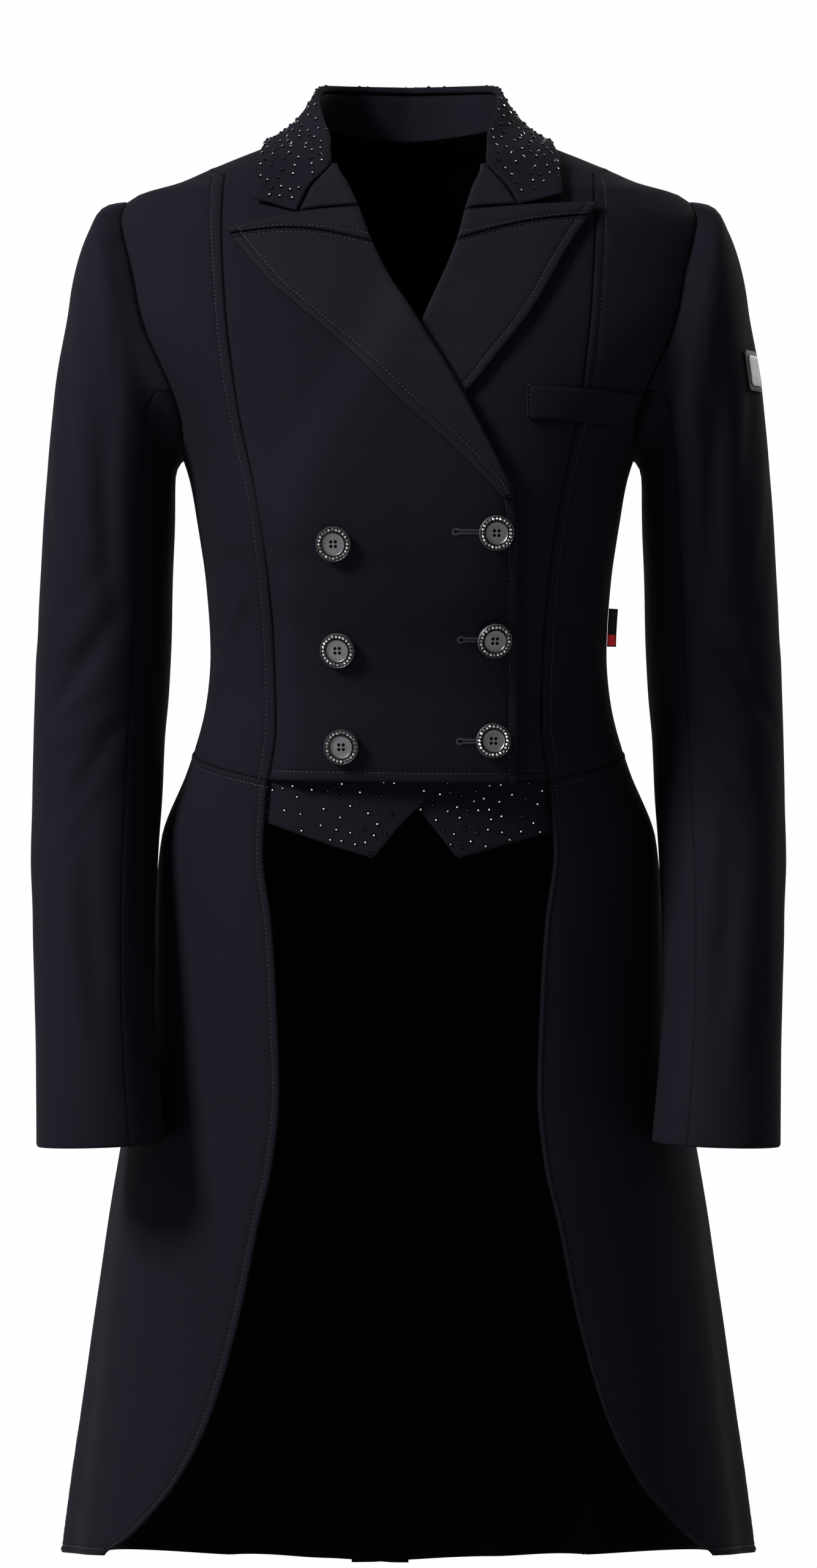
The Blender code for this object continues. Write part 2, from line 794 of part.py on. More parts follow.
def pocket_welt():
    """The chest welt, laid over the princess seam up to the armhole."""
    rows = []
    for i in range(4):
        level = i / 3
        end_clock = mix(121.0, 141.0, level)
        end_turn, _ = armhole(end_clock)
        line = []
        for k in range(9):
            share = k / 8
            drop = mix(WELT["top"], WELT["bottom"], level) + WELT["slope"] * 70 * share
            first = turn_at(WELT["left"], drop)
            line.append((mix(first, end_turn - WELT["inset"], share), drop))
        rows.append(line)
    return on_body(rows, lambda _t, _d: WELT["rest"] + LAID, LAID)


def button(name, across, drop):
    """A dished button with four holes, on a short shank of thread."""
    turn = turn_at(across, drop)
    lift = lap_lift(turn, drop)
    seat = body_point(turn, drop, lift + GAP)
    axis = outward(turn, drop)
    b = BUTTON
    half, top = b["wide"] / 2, b["shank"] + b["thick"]
    profile = ((0, top - b["dish"]), (half - b["rim"] - 1.2, top - b["dish"]),
               (half - b["rim"], top), (half - 0.8, top), (half, top - 1.0),
               (half, b["shank"] + 0.9), (half - 1.6, b["shank"]),
               (b["shank_wide"] / 2, b["shank"]), (b["shank_wide"] / 2, 0), (0, 0))
    turned = bmesh.new()
    points = [turned.verts.new((x * MM, 0, z * MM)) for x, z in profile]
    edges = [turned.edges.new(pair) for pair in zip(points, points[1:])]
    bmesh.ops.spin(turned, geom=points + edges, angle=math.tau, steps=18,
                   axis=(0, 0, 1), cent=(0, 0, 0))
    bmesh.ops.remove_doubles(turned, verts=turned.verts, dist=1e-6)
    bmesh.ops.recalc_face_normals(turned, faces=turned.faces)
    mesh = bpy.data.meshes.new(name)
    turned.to_mesh(mesh)
    turned.free()
    made = add_object(name, mesh, METAL)
    made.location = seat * MM
    made.rotation_euler = axis.to_track_quat("Z", "Y").to_euler()
    holes = hole_cutter(name + "_holes", top)
    holes.parent = made
    cut = made.modifiers.new("holes", "BOOLEAN")
    cut.operation = "DIFFERENCE"
    cut.object = holes


def hole_cutter(name, top):
    """Four pins, joined into one cutter, that stop short of the shank."""
    pins = bmesh.new()
    spread = BUTTON["hole_circle"] / 2 / math.sqrt(2)
    for x in (-spread, spread):
        for y in (-spread, spread):
            made = bmesh.ops.create_cone(pins, cap_ends=True, segments=6,
                                         radius1=BUTTON["hole"] / 2 * MM,
                                         radius2=BUTTON["hole"] / 2 * MM,
                                         depth=4.0 * MM)
            bmesh.ops.translate(pins, verts=made["verts"],
                                vec=(x * MM, y * MM, (top + 0.3) * MM))
    mesh = bpy.data.meshes.new(name)
    pins.to_mesh(mesh)
    pins.free()
    cutter = bpy.data.objects.new(name, mesh)
    cutter.hide_render = True
    cutter.display_type = "WIRE"
    CUTTERS.objects.link(cutter)
    return cutter


def sleeve_point(round_it, drop):
    """The place on the sleeve at an angle round it and a height."""
    low, high = SLEEVE.keys[0], SLEEVE.keys[-1]
    for _ in range(30):
        middle = (low + high) / 2
        point = sleeve_ring(middle, 1, round_it, round_it)[0]
        if -point.z < drop:
            low = middle
        else:
            high = middle
    return point


def badge_grid(wide, tall, lift, thickness):
    """A small upright patch on the left sleeve, between two lifts."""
    half_turn = math.degrees(wide / 2 / BADGE["arm_radius"])
    middle = [[sleeve_point(BADGE["round"] + across * half_turn,
                            BADGE["drop"] + down * tall / 2)
               for across in (-1, -0.5, 0, 0.5, 1)] for down in (-1, 0, 1)]
    return walled(middle, lift + thickness), walled(middle, lift)


def side_label():
    """A small flag, sewn into the left side seam and standing out from it."""
    rows = []
    for k in range(3):
        drop = LABEL["drop"] + LABEL["tall"] * k / 2
        turn = SIDE_SEAM.at("turn", drop)
        root = body_point(turn, drop, GAP)
        out = outward(turn, drop)
        rows.append([root + out * LABEL["wide"] * j for j in (0, 0.5, 1)])
    return rows, walled(rows, LABEL["thick"])


def both_sides(name, grids):
    outer, inner = grids
    sheet(name + "_left", outer, inner)
    sheet(name + "_right", mirrored(outer), mirrored(inner))


def main():
    for old in list(bpy.data.objects):
        bpy.data.objects.remove(old, do_unlink=True)
    for group in (COAT, CUTTERS):
        bpy.context.scene.collection.children.link(group)
    sheet("front_right", *front_panel(RIGHT))
    sheet("front_left", *front_panel(LEFT))
    both_sides("side_front", side_front_panel())
    both_sides("side_back", side_back_panel())
    sheet("back_right", *back_panel(RIGHT))
    sheet("back_left", *back_panel(LEFT))
    both_sides("skirt", skirt_panel())
    low, high = UNDER_SLEEVE
    both_sides("top_sleeve", sleeve_piece(high - 360, low))
    both_sides("under_sleeve", sleeve_piece(low, high))
    sheet("collar", *collar())
    sheet("collar_stand", *collar_stand())
    for side, word in ((RIGHT, "right"), (LEFT, "left")):
        for name, rows in lapel_rows(side).items():
            sheet(f"{name}_{word}", *lapel_piece(rows, side, 6))
    sheet("vest_point_right", *vest_point(VEST_RIGHT, 0))
    sheet("vest_point_left", *vest_point(VEST_LEFT, 1))
    sheet("pocket_welt", *pocket_welt())
    for name, across, drop in BUTTON_PLACES:
        button(name, across, drop)
    wide, tall, frame = BADGE["wide"], BADGE["tall"], 2 * BADGE["frame"]
    sheet("sleeve_badge", *badge_grid(wide, tall, 2 * GAP, BADGE["thick"]), TRIM)
    sheet("sleeve_badge_plate",
          *badge_grid(wide - frame, tall - frame, 3 * GAP + BADGE["thick"],
                      BADGE["plate"]), PLATE)
    sheet("side_label", *side_label(), TRIM)


COAT = bpy.data.collections.new("shadbelly")
CUTTERS = bpy.data.collections.new("cutters")
main()
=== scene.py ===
"""Looks of a shadbelly, the double-breasted riding tailcoat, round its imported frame.

World units are metres, +Z up, +X to the wearer's left, and the front faces -Y.
Sizes in this script are millimetres, and MM turns them into metres. A `drop` is a
length below the origin, which lies between the shoulders. A `turn` is an angle about
the body in degrees: 0 in front, 90 at the wearer's left side, 180 at the centre back.
Every panel is a thin closed shell on the same form as its solid in the frame. Its
surface is asked for by place: how far down the piece, and how far across it.
"""

from __future__ import annotations

import logging
import math
from bisect import bisect_right
from collections.abc import Callable, Iterable, Sequence
from dataclasses import dataclass, field, replace
from enum import Enum
from functools import partial
from itertools import accumulate, product

import bmesh
import bpy
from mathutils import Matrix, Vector, noise

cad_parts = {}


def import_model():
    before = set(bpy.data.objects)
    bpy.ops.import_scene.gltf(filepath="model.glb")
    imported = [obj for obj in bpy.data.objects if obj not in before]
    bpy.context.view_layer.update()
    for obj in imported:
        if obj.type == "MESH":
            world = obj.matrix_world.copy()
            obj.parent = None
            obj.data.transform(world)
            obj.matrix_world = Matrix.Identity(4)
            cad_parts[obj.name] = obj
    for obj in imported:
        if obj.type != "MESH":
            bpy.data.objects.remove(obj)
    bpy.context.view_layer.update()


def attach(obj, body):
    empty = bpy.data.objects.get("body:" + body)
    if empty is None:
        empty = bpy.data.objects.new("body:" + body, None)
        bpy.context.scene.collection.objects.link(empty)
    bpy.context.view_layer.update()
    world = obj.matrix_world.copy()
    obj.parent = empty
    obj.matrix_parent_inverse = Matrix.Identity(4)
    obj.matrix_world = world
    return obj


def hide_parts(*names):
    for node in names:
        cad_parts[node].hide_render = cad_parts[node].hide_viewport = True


LOG = logging.getLogger("shadbelly")
MM = 0.001
WALL = 2.0        # one layer of cloth with its lining
LAID = 1.8        # a layer that lies on another
GAP = 0.3         # under what stands on the cloth
SEAM = -0.06      # room between panels that are sewn together: they just overlap
REST = 1.15       # under a layer that lies on another
LAP_LIFT = 6.2    # outer face of the lapped front
VENT_LIFT = 3.0   # outer face of the back that laps over the other at the vent
CLEAR = REST + LAID + 0.5  # outer face of the collar, off the form
ROUNDED = 2.2     # how far in from an edge its rounding begins
TURNED = 0.85     # how deep a free edge rounds off
DIP = 0.9         # how deep a sewn edge dips
LEAST_FILL = 0.301  # least share of its own box that a stated cut may fill
SIDE_TOP = 214.0  # drop at which the side seam leaves the armhole
BOUNDLESS = (-math.inf, math.inf)

Place = tuple[float, float]
Grid = list[list[Vector]]
Colour = tuple[float, float, float]
Row = tuple[list[Vector], list[Vector]]
Surface = Callable[[float, float], Vector]
LapelRow = tuple[Place, Place, float]  # its ends and how much it bows up
Height = Callable[[float, float, Vector], float]


def clamp(value: float, low: float = 0.0, high: float = 1.0) -> float:
    """The value, held between two limits."""
    return min(max(value, low), high)


class Side(Enum):
    """The wearer's right or left, as the sign of X."""

    RIGHT = -1
    LEFT = 1

    @property
    def word(self) -> str:
        """The side in a piece's name."""
        return self.name.lower()


class Table:
    """Rows under named columns; each column is a smooth curve against the first."""

    def __init__(self, names: str, *rows: Sequence[float]) -> None:
        """Keeps the columns and the slopes that join them.

        Args:
            names: the columns' names, the key first.
            rows: one row of numbers for each key, in rising order.
        """
        self.names = names.split()
        self.keys = [row[0] for row in rows]
        self.values = {name: [row[i] for row in rows]
                       for i, name in enumerate(self.names)}
        self.slopes = {name: self._slopes(self.values[name]) for name in self.names}

    def _slopes(self, values: Sequence[float]) -> list[float]:
        """Slopes at the rows that keep the curve from overshooting them.

        Args:
            values: a column's values.

        Returns:
            One slope for each row.
        """
        widths = [b - a for a, b in zip(self.keys, self.keys[1:])]
        steps = [(b - a) / w for a, b, w in zip(values, values[1:], widths)]
        inner = [0.0 if a * b <= 0 else 2 * a * b / (a + b)
                 for a, b in zip(steps, steps[1:])]
        return [steps[0], *inner, steps[-1]]

    def at(self, name: str, key: float) -> float:
        """The column's value at a key between the first row and the last.

        Args:
            name: the column.
            key: the key, which is held between the first and the last.

        Returns:
            The value on the smooth curve.
        """
        keys, values, slopes = self.keys, self.values[name], self.slopes[name]
        key = clamp(key, keys[0], keys[-1])
        i = min(bisect_right(keys, key), len(keys) - 1) - 1
        width = keys[i + 1] - keys[i]
        t = (key - keys[i]) / width
        rise = t * t * (3 - 2 * t)
        return (values[i] * (1 - rise) + values[i + 1] * rise
                + width * t * (1 - t) * ((1 - t) * slopes[i] - t * slopes[i + 1]))


BODY = Table(
    "drop half front back middle square",
    (-22, 62, 31, 48, 14, 2.0),
    (-10, 80, 40, 60, 11, 2.0),
    (0, 98, 47, 76, 7, 2.0),
    (8, 117, 54, 86, 4, 2.0),
    (17, 138, 60, 93, 2, 2.05),
    (25, 156, 64, 97, 1, 2.1),
    (34, 185, 69, 101, 0, 2.1),
    (54, 205, 83, 107, 0, 2.2),
    (81, 210, 96, 112, 0, 2.25),
    (106, 211, 106, 114, 0, 2.3),
    (125, 207, 113, 115, 0, 2.35),
    (143, 198, 118, 115, 0, 2.4),
    (163, 184, 124, 114, 0, 2.4),
    (188, 166, 129, 112, 0, 2.4),
    (212, 153.5, 132, 108, 0, 2.4),
    (228, 148.5, 134, 106, 0, 2.4),
    (254, 144, 135, 102, 0, 2.4),
    (300, 137, 129, 93, 0, 2.35),
    (345, 134.5, 115, 86, 0, 2.3),
    (379, 137.5, 109, 90, 1, 2.3),
    (421, 149, 110, 100, 6, 2.3),
    (471, 169, 124, 112, 22, 2.25),
    (540, 176, 142, 124, 36, 2.25),
    (610, 184, 154, 128, 46, 2.25),
    (683, 198, 162, 132, 52, 2.2),
    (780, 211, 164, 138, 52, 2.2),
    (880, 223, 168, 146, 50, 2.2),
    (985, 236, 172, 158, 48, 2.2),
)
BUST = {"turn": 36.0, "drop": 236.0, "wide": 20.0, "tall": 62.0, "deep": 6.0}
FLUTES = Table("drop deep", (500, 0.0), (640, 1.5), (800, 4.0), (985, 7.5))
FLUTE_SPACING = 27.0
FLUTE_TURN = 118.0
EDGE = {
    Side.RIGHT: Table(
        "drop across",
        (-16, 66), (3, 60), (20, 47.5), (39, 37), (74, 23.5), (95, 13.5), (131, -8),
        (179, -37), (216, -55.5), (246, -68.5), (270, -71), (436, -71.5),
    ),
    Side.LEFT: Table(
        "drop across",
        (-16, 66), (3, 60), (20, 49), (39, 41), (74, 31.5), (95, 23), (116, 13.5),
        (131, 7), (179, -25), (216, -46), (246, -62), (270, -69), (436, -70),
    ),
}
PRINCESS = Table(
    "drop across",
    (11, 124), (56, 125), (108, 122.5), (180, 114), (245, 101), (300, 93),
    (345, 89.5), (395, 88.5), (436, 94),
)
SIDE_SEAM = Table("drop turn", (213, 90), (300, 88), (436, 87))
SIDE_BACK_SEAM = Table(
    "drop turn",
    (126, 108.5), (160, 118), (200, 127), (250, 135), (300, 141), (358, 146),
    (410, 147), (560, 142), (700, 139), (985, 136),
)
TAIL_EDGE = Table(
    "drop across",
    (431, 94), (480, 97), (522, 91.5), (563, 88.5), (640, 86), (684, 90), (728, 100),
    (778, 110), (820, 121), (862, 135), (898, 154), (922, 173), (941, 191), (953, 208),
)
WAIST = {"front": 431.0, "side": 411.0, "back": 404.0}
CUT = {name: drop - GAP / 2 for name, drop in WAIST.items()}  # edges above that seam
HEM = Table("turn drop", (60, 953), (90, 966), (136, 981), (180, 990))
ARMHOLE = {"middle": 126.0, "tall": 88.0, "fore": 68.0, "aft": 64.0,
           "scoop_fore": 0.35, "scoop_aft": 0.12, "power": 0.85}
SLEEVE = Table(
    "station out out_drop inner inner_drop middle deep",
    (0, 198, 38, 152.5, 214, 0, 70),
    (1, 236, 44, 156, 214, 0, 72),
    (2, 227, 66, 157.5, 218, 0, 73),
    (3, 231, 108, 158.5, 227, 1, 74),
    (4, 241, 171, 159, 252, 4, 72),
    (5, 247, 233, 160.5, 296, 7, 69),
    (6, 251, 300, 162, 342, 9, 66),
    (7, 254, 358, 163.5, 374, 9, 63),
    (8, 255, 400, 166, 405, 6, 60),
    (9, 256, 442, 168, 444, 0, 57),
    (10, 256, 483, 170, 485, -13, 55),
    (11, 254, 525, 171, 527, -27, 53),
    (12, 252, 567, 171, 569, -39, 51),
    (13, 250.5, 607, 169, 608, -50, 49),
    (14, 249.5, 645, 166, 644, -59, 48),
    (15, 249, 675.5, 163, 672.5, -65, 47),
)
SCYE_CENTRE = Vector((185, 0, -126))
SLEEVE_CREASES = Table(
    "start end from_round to_round wide deep",
    (2.2, 6.2, 62, 104, 11, 3.2),
    (2.8, 5.6, 20, 60, 10, 2.0),
    (5.6, 7.4, 112, 52, 9, 3.4),
    (6.4, 8.0, 96, 28, 9, 3.0),
    (7.4, 9.4, 118, 64, 9, 2.6),
    (9.0, 13.0, 84, 102, 10, 2.4),
)
COLLAR = Table(
    "station fold_x fold_y fold_z edge_turn edge_drop",
    (0, 74.5, -78, -52, 57, 45),
    (1, 66.5, -68, -33, 61, 31),
    (2, 51.5, -54, -15, 67.5, 17),
    (3, 54, -36, 3, 73.5, 8),
    (4, 59.5, -14, 20, 81, 2),
    (5, 63, 8, 35, 93, -1),
    (6, 60, 31, 45, 112, -2),
    (7, 47, 53, 48, 132, -3),
    (8, 26, 67, 49, 155, -3),
    (9, 0, 72, 49, 180, -3),
)
NECK_DROP = Table("turn drop", (45, -16), (90, -20), (140, -15), (180, -12))
LAPEL_EDGE = {
    Side.RIGHT: Table(
        "run across drop",
        (0, 121, 64), (1, 93, 100), (2, 46, 141), (3, 9.5, 179), (4, -26, 210),
        (5, -51, 235), (6, -60.5, 246),
    ),
    Side.LEFT: Table(
        "run across drop",
        (0, 127, 46), (1, 107, 75), (2, 84, 117), (3, 60.5, 148), (4, 37, 177),
        (5, -14, 218), (6, -54, 246),
    ),
}
LAPEL_SEAMS = {
    Side.RIGHT: Table("seam roll_drop run bow", (0, 48.5, 0.0, 2.5), (1, 74.0, 0.11, 6.0)),
    Side.LEFT: Table("seam roll_drop run bow", (0, 51.0, 0.0, 0.5), (1, 72.0, 0.33, 3.0)),
}
GORGE = Table("drop across", (17, 49.5), (34, 64.3), (44, 69.3), (51.5, 72.3))


def blend(edge0: float, edge1: float, value: float) -> float:
    """0 below edge0, 1 above edge1, smooth between."""
    t = clamp((value - edge0) / (edge1 - edge0))
    return t * t * (3 - 2 * t)


def mix(a: float, b: float, share: float) -> float:
    """The number that lies at that share of the way from a to b."""
    return a + (b - a) * share


def spans(*stretches: tuple[float, float, int]) -> list[float]:
    """Places along an edge: each stretch is its start, its end and its steps."""
    return [stretches[0][0]] + [start + (end - start) * k / steps
                                for start, end, steps in stretches for k in range(1, steps + 1)]


def along(values: Sequence[float], index: float) -> float:
    """The value at an index that may lie between two entries."""
    low = int(clamp(index, 0, len(values) - 2))
    return mix(values[low], values[low + 1], index - low)


def running(points: Sequence[Vector]) -> list[float]:
    """Length of a line of points up to each of them."""
    return [0.0, *accumulate((b - a).length for a, b in zip(points, points[1:]))]


def locate(lengths: Sequence[float], distance: float) -> float:
    """Index, maybe between two points, at a distance along a line."""
    i = int(clamp(bisect_right(lengths, distance) - 1, 0, len(lengths) - 2))
    return i + clamp((distance - lengths[i]) / max(lengths[i + 1] - lengths[i], 1e-9))


def nearest(values: Sequence[float], target: float) -> int:
    """Index of the value that lies nearest to the target."""
    return min(range(len(values)), key=lambda i: abs(values[i] - target))


def halved(high: float, steps: int, short: Callable[[float], bool]) -> float:
    """The value, from 0 up, to which a test holds.

    Args:
        high: where the test no longer holds.
        steps: how often the stretch is halved.
        short: the test.

    Returns:
        The value, a little short of the true one.
    """
    low = 0.0
    for _ in range(steps):
        middle = (low + high) / 2
        low, high = (middle, high) if short(middle) else (low, middle)
    return low


def smooth_at(points: Sequence[Vector], index: float) -> Vector:
    """A point of the smooth curve through some points.

    Args:
        points: two or more.
        index: place along them, maybe between two.

    Returns:
        The point there.
    """
    i = int(clamp(index, 0, len(points) - 2))
    t = index - i
    p1, p2 = points[i], points[i + 1]
    p0 = points[i - 1] if i else p1 * 2 - p2
    p3 = points[i + 2] if i + 2 < len(points) else p2 * 2 - p1
    return 0.5 * (2 * p1 + (p2 - p0) * t + (2 * p0 - 5 * p1 + 4 * p2 - p3) * t * t
                  + (3 * p1 - p0 - 3 * p2 + p3) * t ** 3)


def mirrored(points: Grid) -> Grid:
    """The same grid on the body's other side."""
    return [[Vector((-p.x, p.y, p.z)) for p in row] for row in points]


def ripple(point: Vector, size: float, seed: float = 0.0) -> float:
    """Soft noise from -1 to 1 whose bumps are about `size` mm across."""
    return noise.noise(point / size + Vector((seed, seed, seed)))


def facing(point: Surface, a: float, b: float, steps: Place,
           limits: tuple[Place, Place] = (BOUNDLESS, BOUNDLESS)) -> Vector:
    """The direction out of a surface, from its slopes along both measures.

    Args:
        point: gives the surface's place at two measures.
        a, b: the two measures.
        steps: how far to look to each side along each.
        limits: the least and the greatest value of each measure.

    Returns:
        The direction, of length 1.
    """
    (a0, a1), (b0, b1) = ((max(v - s, low), min(v + s, high))
                          for v, s, (low, high) in zip((a, b), steps, limits))
    return (point(a1, b) - point(a0, b)).cross(point(a, b1) - point(a, b0)).normalized()


class BodyForm:
    """The hollow form that the worn coat keeps, by turn and drop."""

    def reach(self, turn: float, drop: float) -> float:
        """Distance of the form from its middle.

        Args:
            turn, drop: the place on it.

        Returns:
            The distance in millimetres.
        """
        turn = abs(turn)
        turn = min(turn, 360 - turn)
        angle = math.radians(turn)
        half = BODY.at("half", drop)
        depth = BODY.at("front" if math.cos(angle) > 0 else "back", drop)
        power = BODY.at("square", drop)
        oval = (abs(math.sin(angle) / half) ** power
                + abs(math.cos(angle) / depth) ** power) ** (-1 / power)
        bust = BUST["deep"] * math.exp(-((turn - BUST["turn"]) / BUST["wide"]) ** 2
                                       - ((drop - BUST["drop"]) / BUST["tall"]) ** 2)
        flute = FLUTES.at("deep", drop) * math.cos(
            math.tau * (turn - FLUTE_TURN) / FLUTE_SPACING) if drop > FLUTES.keys[0] else 0.0
        return oval + bust + flute * blend(70, 95, turn) * (1 - blend(148, 164, turn))

    def point(self, turn: float, drop: float) -> Vector:
        """The place on the form.

        Args:
            turn, drop: the place by its two measures.

        Returns:
            The point in millimetres.
        """
        angle = math.radians(turn)
        length = self.reach(turn, drop)
        return Vector((length * math.sin(angle),
                       BODY.at("middle", drop) - length * math.cos(angle), -drop))

    def outward(self, turn: float, drop: float) -> Vector:
        """The form's own direction outwards."""
        return -facing(self.point, turn, drop, (0.6, 1.5))

    def turn_at(self, across: float, drop: float) -> float:
        """The turn, on the front, at which the form lies that far to one side."""
        turn = halved(90.0, 20, lambda middle: self.point(middle, drop).x < abs(across))
        return math.copysign(turn, across)

    def turns_of(self, edge: Table, low: float, high: float, steps: int = 90) -> Table:
        """An edge that is given across the front, as turns against the drop."""
        drops = [mix(low, high, k / steps) for k in range(steps + 1)]
        return Table("drop turn", *((d, self.turn_at(edge.at("across", d), d)) for d in drops))


FORM = BodyForm()
FRONT_TURN = {side: FORM.turns_of(EDGE[side], -16, 436) for side in Side}
PRINCESS_TURN = FORM.turns_of(PRINCESS, 12, 436)
TAIL_TURN = FORM.turns_of(TAIL_EDGE, 404, 956)


def princess_turn(drop: float) -> float:
    """The princess seam, which starts at the shoulder seam."""
    return mix(90.0, PRINCESS_TURN.at("turn", drop), clamp((drop - 12) / 9.3))


def armhole(clock: float) -> Place:
    """A place on the left armhole.

    Args:
        clock: angle about its middle: 0 at the shoulder, 90 in front, -90 behind.

    Returns:
        Its turn and drop.
    """
    cosine = math.cos(math.radians(clock))
    sine = abs(math.sin(math.radians(clock))) ** ARMHOLE["power"]
    drop = ARMHOLE["middle"] - ARMHOLE["tall"] * cosine
    side = "fore" if clock > 0 else "aft"
    depth = ARMHOLE[side] * sine * (1 - ARMHOLE["scoop_" + side] * cosine)
    reach_y = BODY.at("front" if clock > 0 else "back", drop)
    power = BODY.at("square", drop)
    across = BODY.at("half", drop) * (1 - (depth / reach_y) ** power) ** (1 / power)
    forward = depth if clock > 0 else -depth
    return math.degrees(math.atan2(across, forward + BODY.at("middle", drop))), drop


def clocks(start: float, end: float, share: float) -> Place:
    """A place on the armhole, between two clock angles."""
    return armhole(mix(start, end, share))


def side_seam(share: float) -> Place:
    """A place on the side seam, from the armhole down to the waist."""
    drop = mix(SIDE_TOP, CUT["side"], share)
    return SIDE_SEAM.at("turn", drop), drop


def side_back_seam(drop: float) -> Place:
    """A place on the side-back seam."""
    return SIDE_BACK_SEAM.at("turn", drop), drop


SIDE_BACK_DROPS = spans((126, 235, 6), (235, CUT["back"], 8))


def waist_drop(turn: float) -> float:
    """Height of the waist seam, straight between the seams that it crosses.

    Args:
        turn: the place about the body.

    Returns:
        The drop of the seam there.
    """
    front = TAIL_TURN.at("turn", WAIST["front"])
    side = SIDE_SEAM.at("turn", WAIST["side"])
    back = SIDE_BACK_SEAM.at("turn", WAIST["back"])
    if turn < side:
        return mix(WAIST["front"], WAIST["side"], (turn - front) / (side - front))
    return mix(WAIST["side"], WAIST["back"], (turn - side) / (back - side))


def lap_lift(turn: float, drop: float) -> float:
    """How far the right front lies out, to pass over the left front and its lapel.

    Args:
        turn, drop: a place on the front, left of the centre if the turn is above 0.

    Returns:
        The lift in millimetres.
    """
    across = FORM.point(turn, drop).x
    edge = EDGE[Side.LEFT].at("across", drop)
    start = max(edge - 45, -PRINCESS.at("across", drop))
    return LAP_LIFT * blend(start, edge - 3, across) * blend(80, 112, drop)


def lapped(side: Side, turn: float, drop: float) -> float:
    """How far a front lies out, at a turn that is counted towards its own side."""
    return lap_lift(-turn, drop) if side is Side.RIGHT else 0.0


def vent_lift(turn: float, drop: float) -> float:
    """How far the left back lies out, where it laps over the right at the vent."""
    return VENT_LIFT * blend(378, 400, drop) * blend(158, 171, turn)


def trim(turn: float, drop: float) -> float:
    """The turn that a panel gives up there for its half of a seam."""
    return math.degrees(SEAM / 2 / FORM.reach(turn, drop))


def between(first: Place, last: Place, share: float) -> Place:
    """The place at a share of the way from one seam to another, both trimmed."""
    return (mix(first[0] + trim(*first), last[0] - trim(*last), share),
            mix(first[1], last[1], share))


@dataclass(frozen=True)
class Crease:
    """A soft trough (or, with a depth below 0, a ridge) from one place to another.

    Attributes:
        start, end: (across, drop) on a panel, or (round, station) on a sleeve.
        wide: half its width in mm.
        deep: its greatest depth in mm.
    """

    start: Place
    end: Place
    wide: float
    deep: float

    def dip(self, a: float, b: float, unit: float = 1.0, unit_down: float = 1.0) -> float:
        """Depth of the crease at a place.

        Args:
            a, b: the place.
            unit: turns the first measure into millimetres.
            unit_down: turns the second.

        Returns:
            The depth in millimetres.
        """
        du, dv = (self.end[0] - self.start[0]) * unit, (self.end[1] - self.start[1]) * unit_down
        u, v = (a - self.start[0]) * unit, (b - self.start[1]) * unit_down
        length = max(du * du + dv * dv, 1e-9)
        share = (u * du + v * dv) / length
        off = abs(u * dv - v * du) / math.sqrt(length)
        if not 0 < share < 1 or off > 3 * self.wide:
            return 0.0
        return self.deep * math.sin(math.pi * share) ** 1.2 * math.exp(-(off / self.wide) ** 2)


def creased(*rows: Sequence[float]) -> tuple[Crease, ...]:
    """Creases from rows with their start, end, width and depth."""
    return tuple(Crease(row[:2], row[2:4], *row[4:]) for row in rows)


def dips(creases: Iterable[Crease], a: float, b: float, *units: float) -> float:
    """Depth of all the creases at a place."""
    return sum(crease.dip(a, b, *units) for crease in creases)


@dataclass(frozen=True)
class Edging:
    """How one edge of a piece is finished.

    Attributes:
        stitch: distance of the topstitching from the edge in mm, 0 for none.
        free: whether the edge is turned in and hangs free; it is sewn otherwise.
        deep: how deep a sewn edge dips, and how dark its painted shade is, as a share of the usual.
    """

    stitch: float = 0.0
    free: bool = False
    deep: float = 1.0

    def margins(self) -> list[float]:
        """Distances from the edge that need a line of points."""
        own = [self.stitch - 1.1, self.stitch, self.stitch + 1.1] if self.stitch else []
        return sorted([0.0, 0.4, 1.1, ROUNDED] + own)

    def relief(self, distance: float) -> float:
        """Height of the outer face near the edge.

        Args:
            distance: from the edge.

        Returns:
            The height in millimetres: the edge rounds off and the stitches pull in.
        """
        away = max(0.0, 1 - distance / ROUNDED)
        height = -(TURNED if self.free else DIP * self.deep) * away * away
        if self.stitch and distance < self.stitch + 5:
            height -= 0.55 * math.exp(-((distance - self.stitch) / 0.9) ** 2)
            height += 0.42 * math.exp(-((distance - self.stitch * 0.5) / (self.stitch * 0.3)) ** 2)
        return height

    def relief_inside(self, distance: float) -> float:
        """How far the inner face turns up at a free edge."""
        away = max(0.0, 1 - distance / ROUNDED) if self.free else 0.0
        return TURNED * away * away

    def shade(self, distance: float) -> float:
        """Painted shade near the edge: how much darker the colour is painted in the groove of a
        sewn seam and of the topstitching, and as a painted shadow along a free edge.

        Args:
            distance: from the edge.

        Returns:
            0 for none, up to 1.
        """
        # painted shadow along a free edge, painted shade in a sewn seam's groove
        dark = (max(0.0, 0.9 - distance) if self.free else self.deep * max(0.0, 1 - distance / 1.5))
        # painted shade in the groove of the topstitching
        if self.stitch:
            dark = max(dark, 0.45 * math.exp(-((distance - self.stitch) / 0.8) ** 2))
        return dark


SEWN = Edging()
FREE = Edging(free=True)
PRESSED = Edging(deep=0.4)


def spread(length: float, first: Sequence[float], last: Sequence[float], count: int) -> list[float]:
    """Distances along a line: margins at both ends and even steps between.

    Args:
        length: the line's length.
        first: margins from the start, rising from 0.
        last: margins from the end, rising from 0.
        count: how many steps lie between the margins.

    Returns:
        Rising distances from 0 to the length.
    """
    scale = min(1.0, 0.8 * length / (first[-1] + last[-1]))
    low, high = first[-1] * scale, length - last[-1] * scale
    middle = [mix(low, high, k / count) for k in range(1, count)]
    return ([d * scale for d in first] + middle + [length - d * scale for d in reversed(last)])


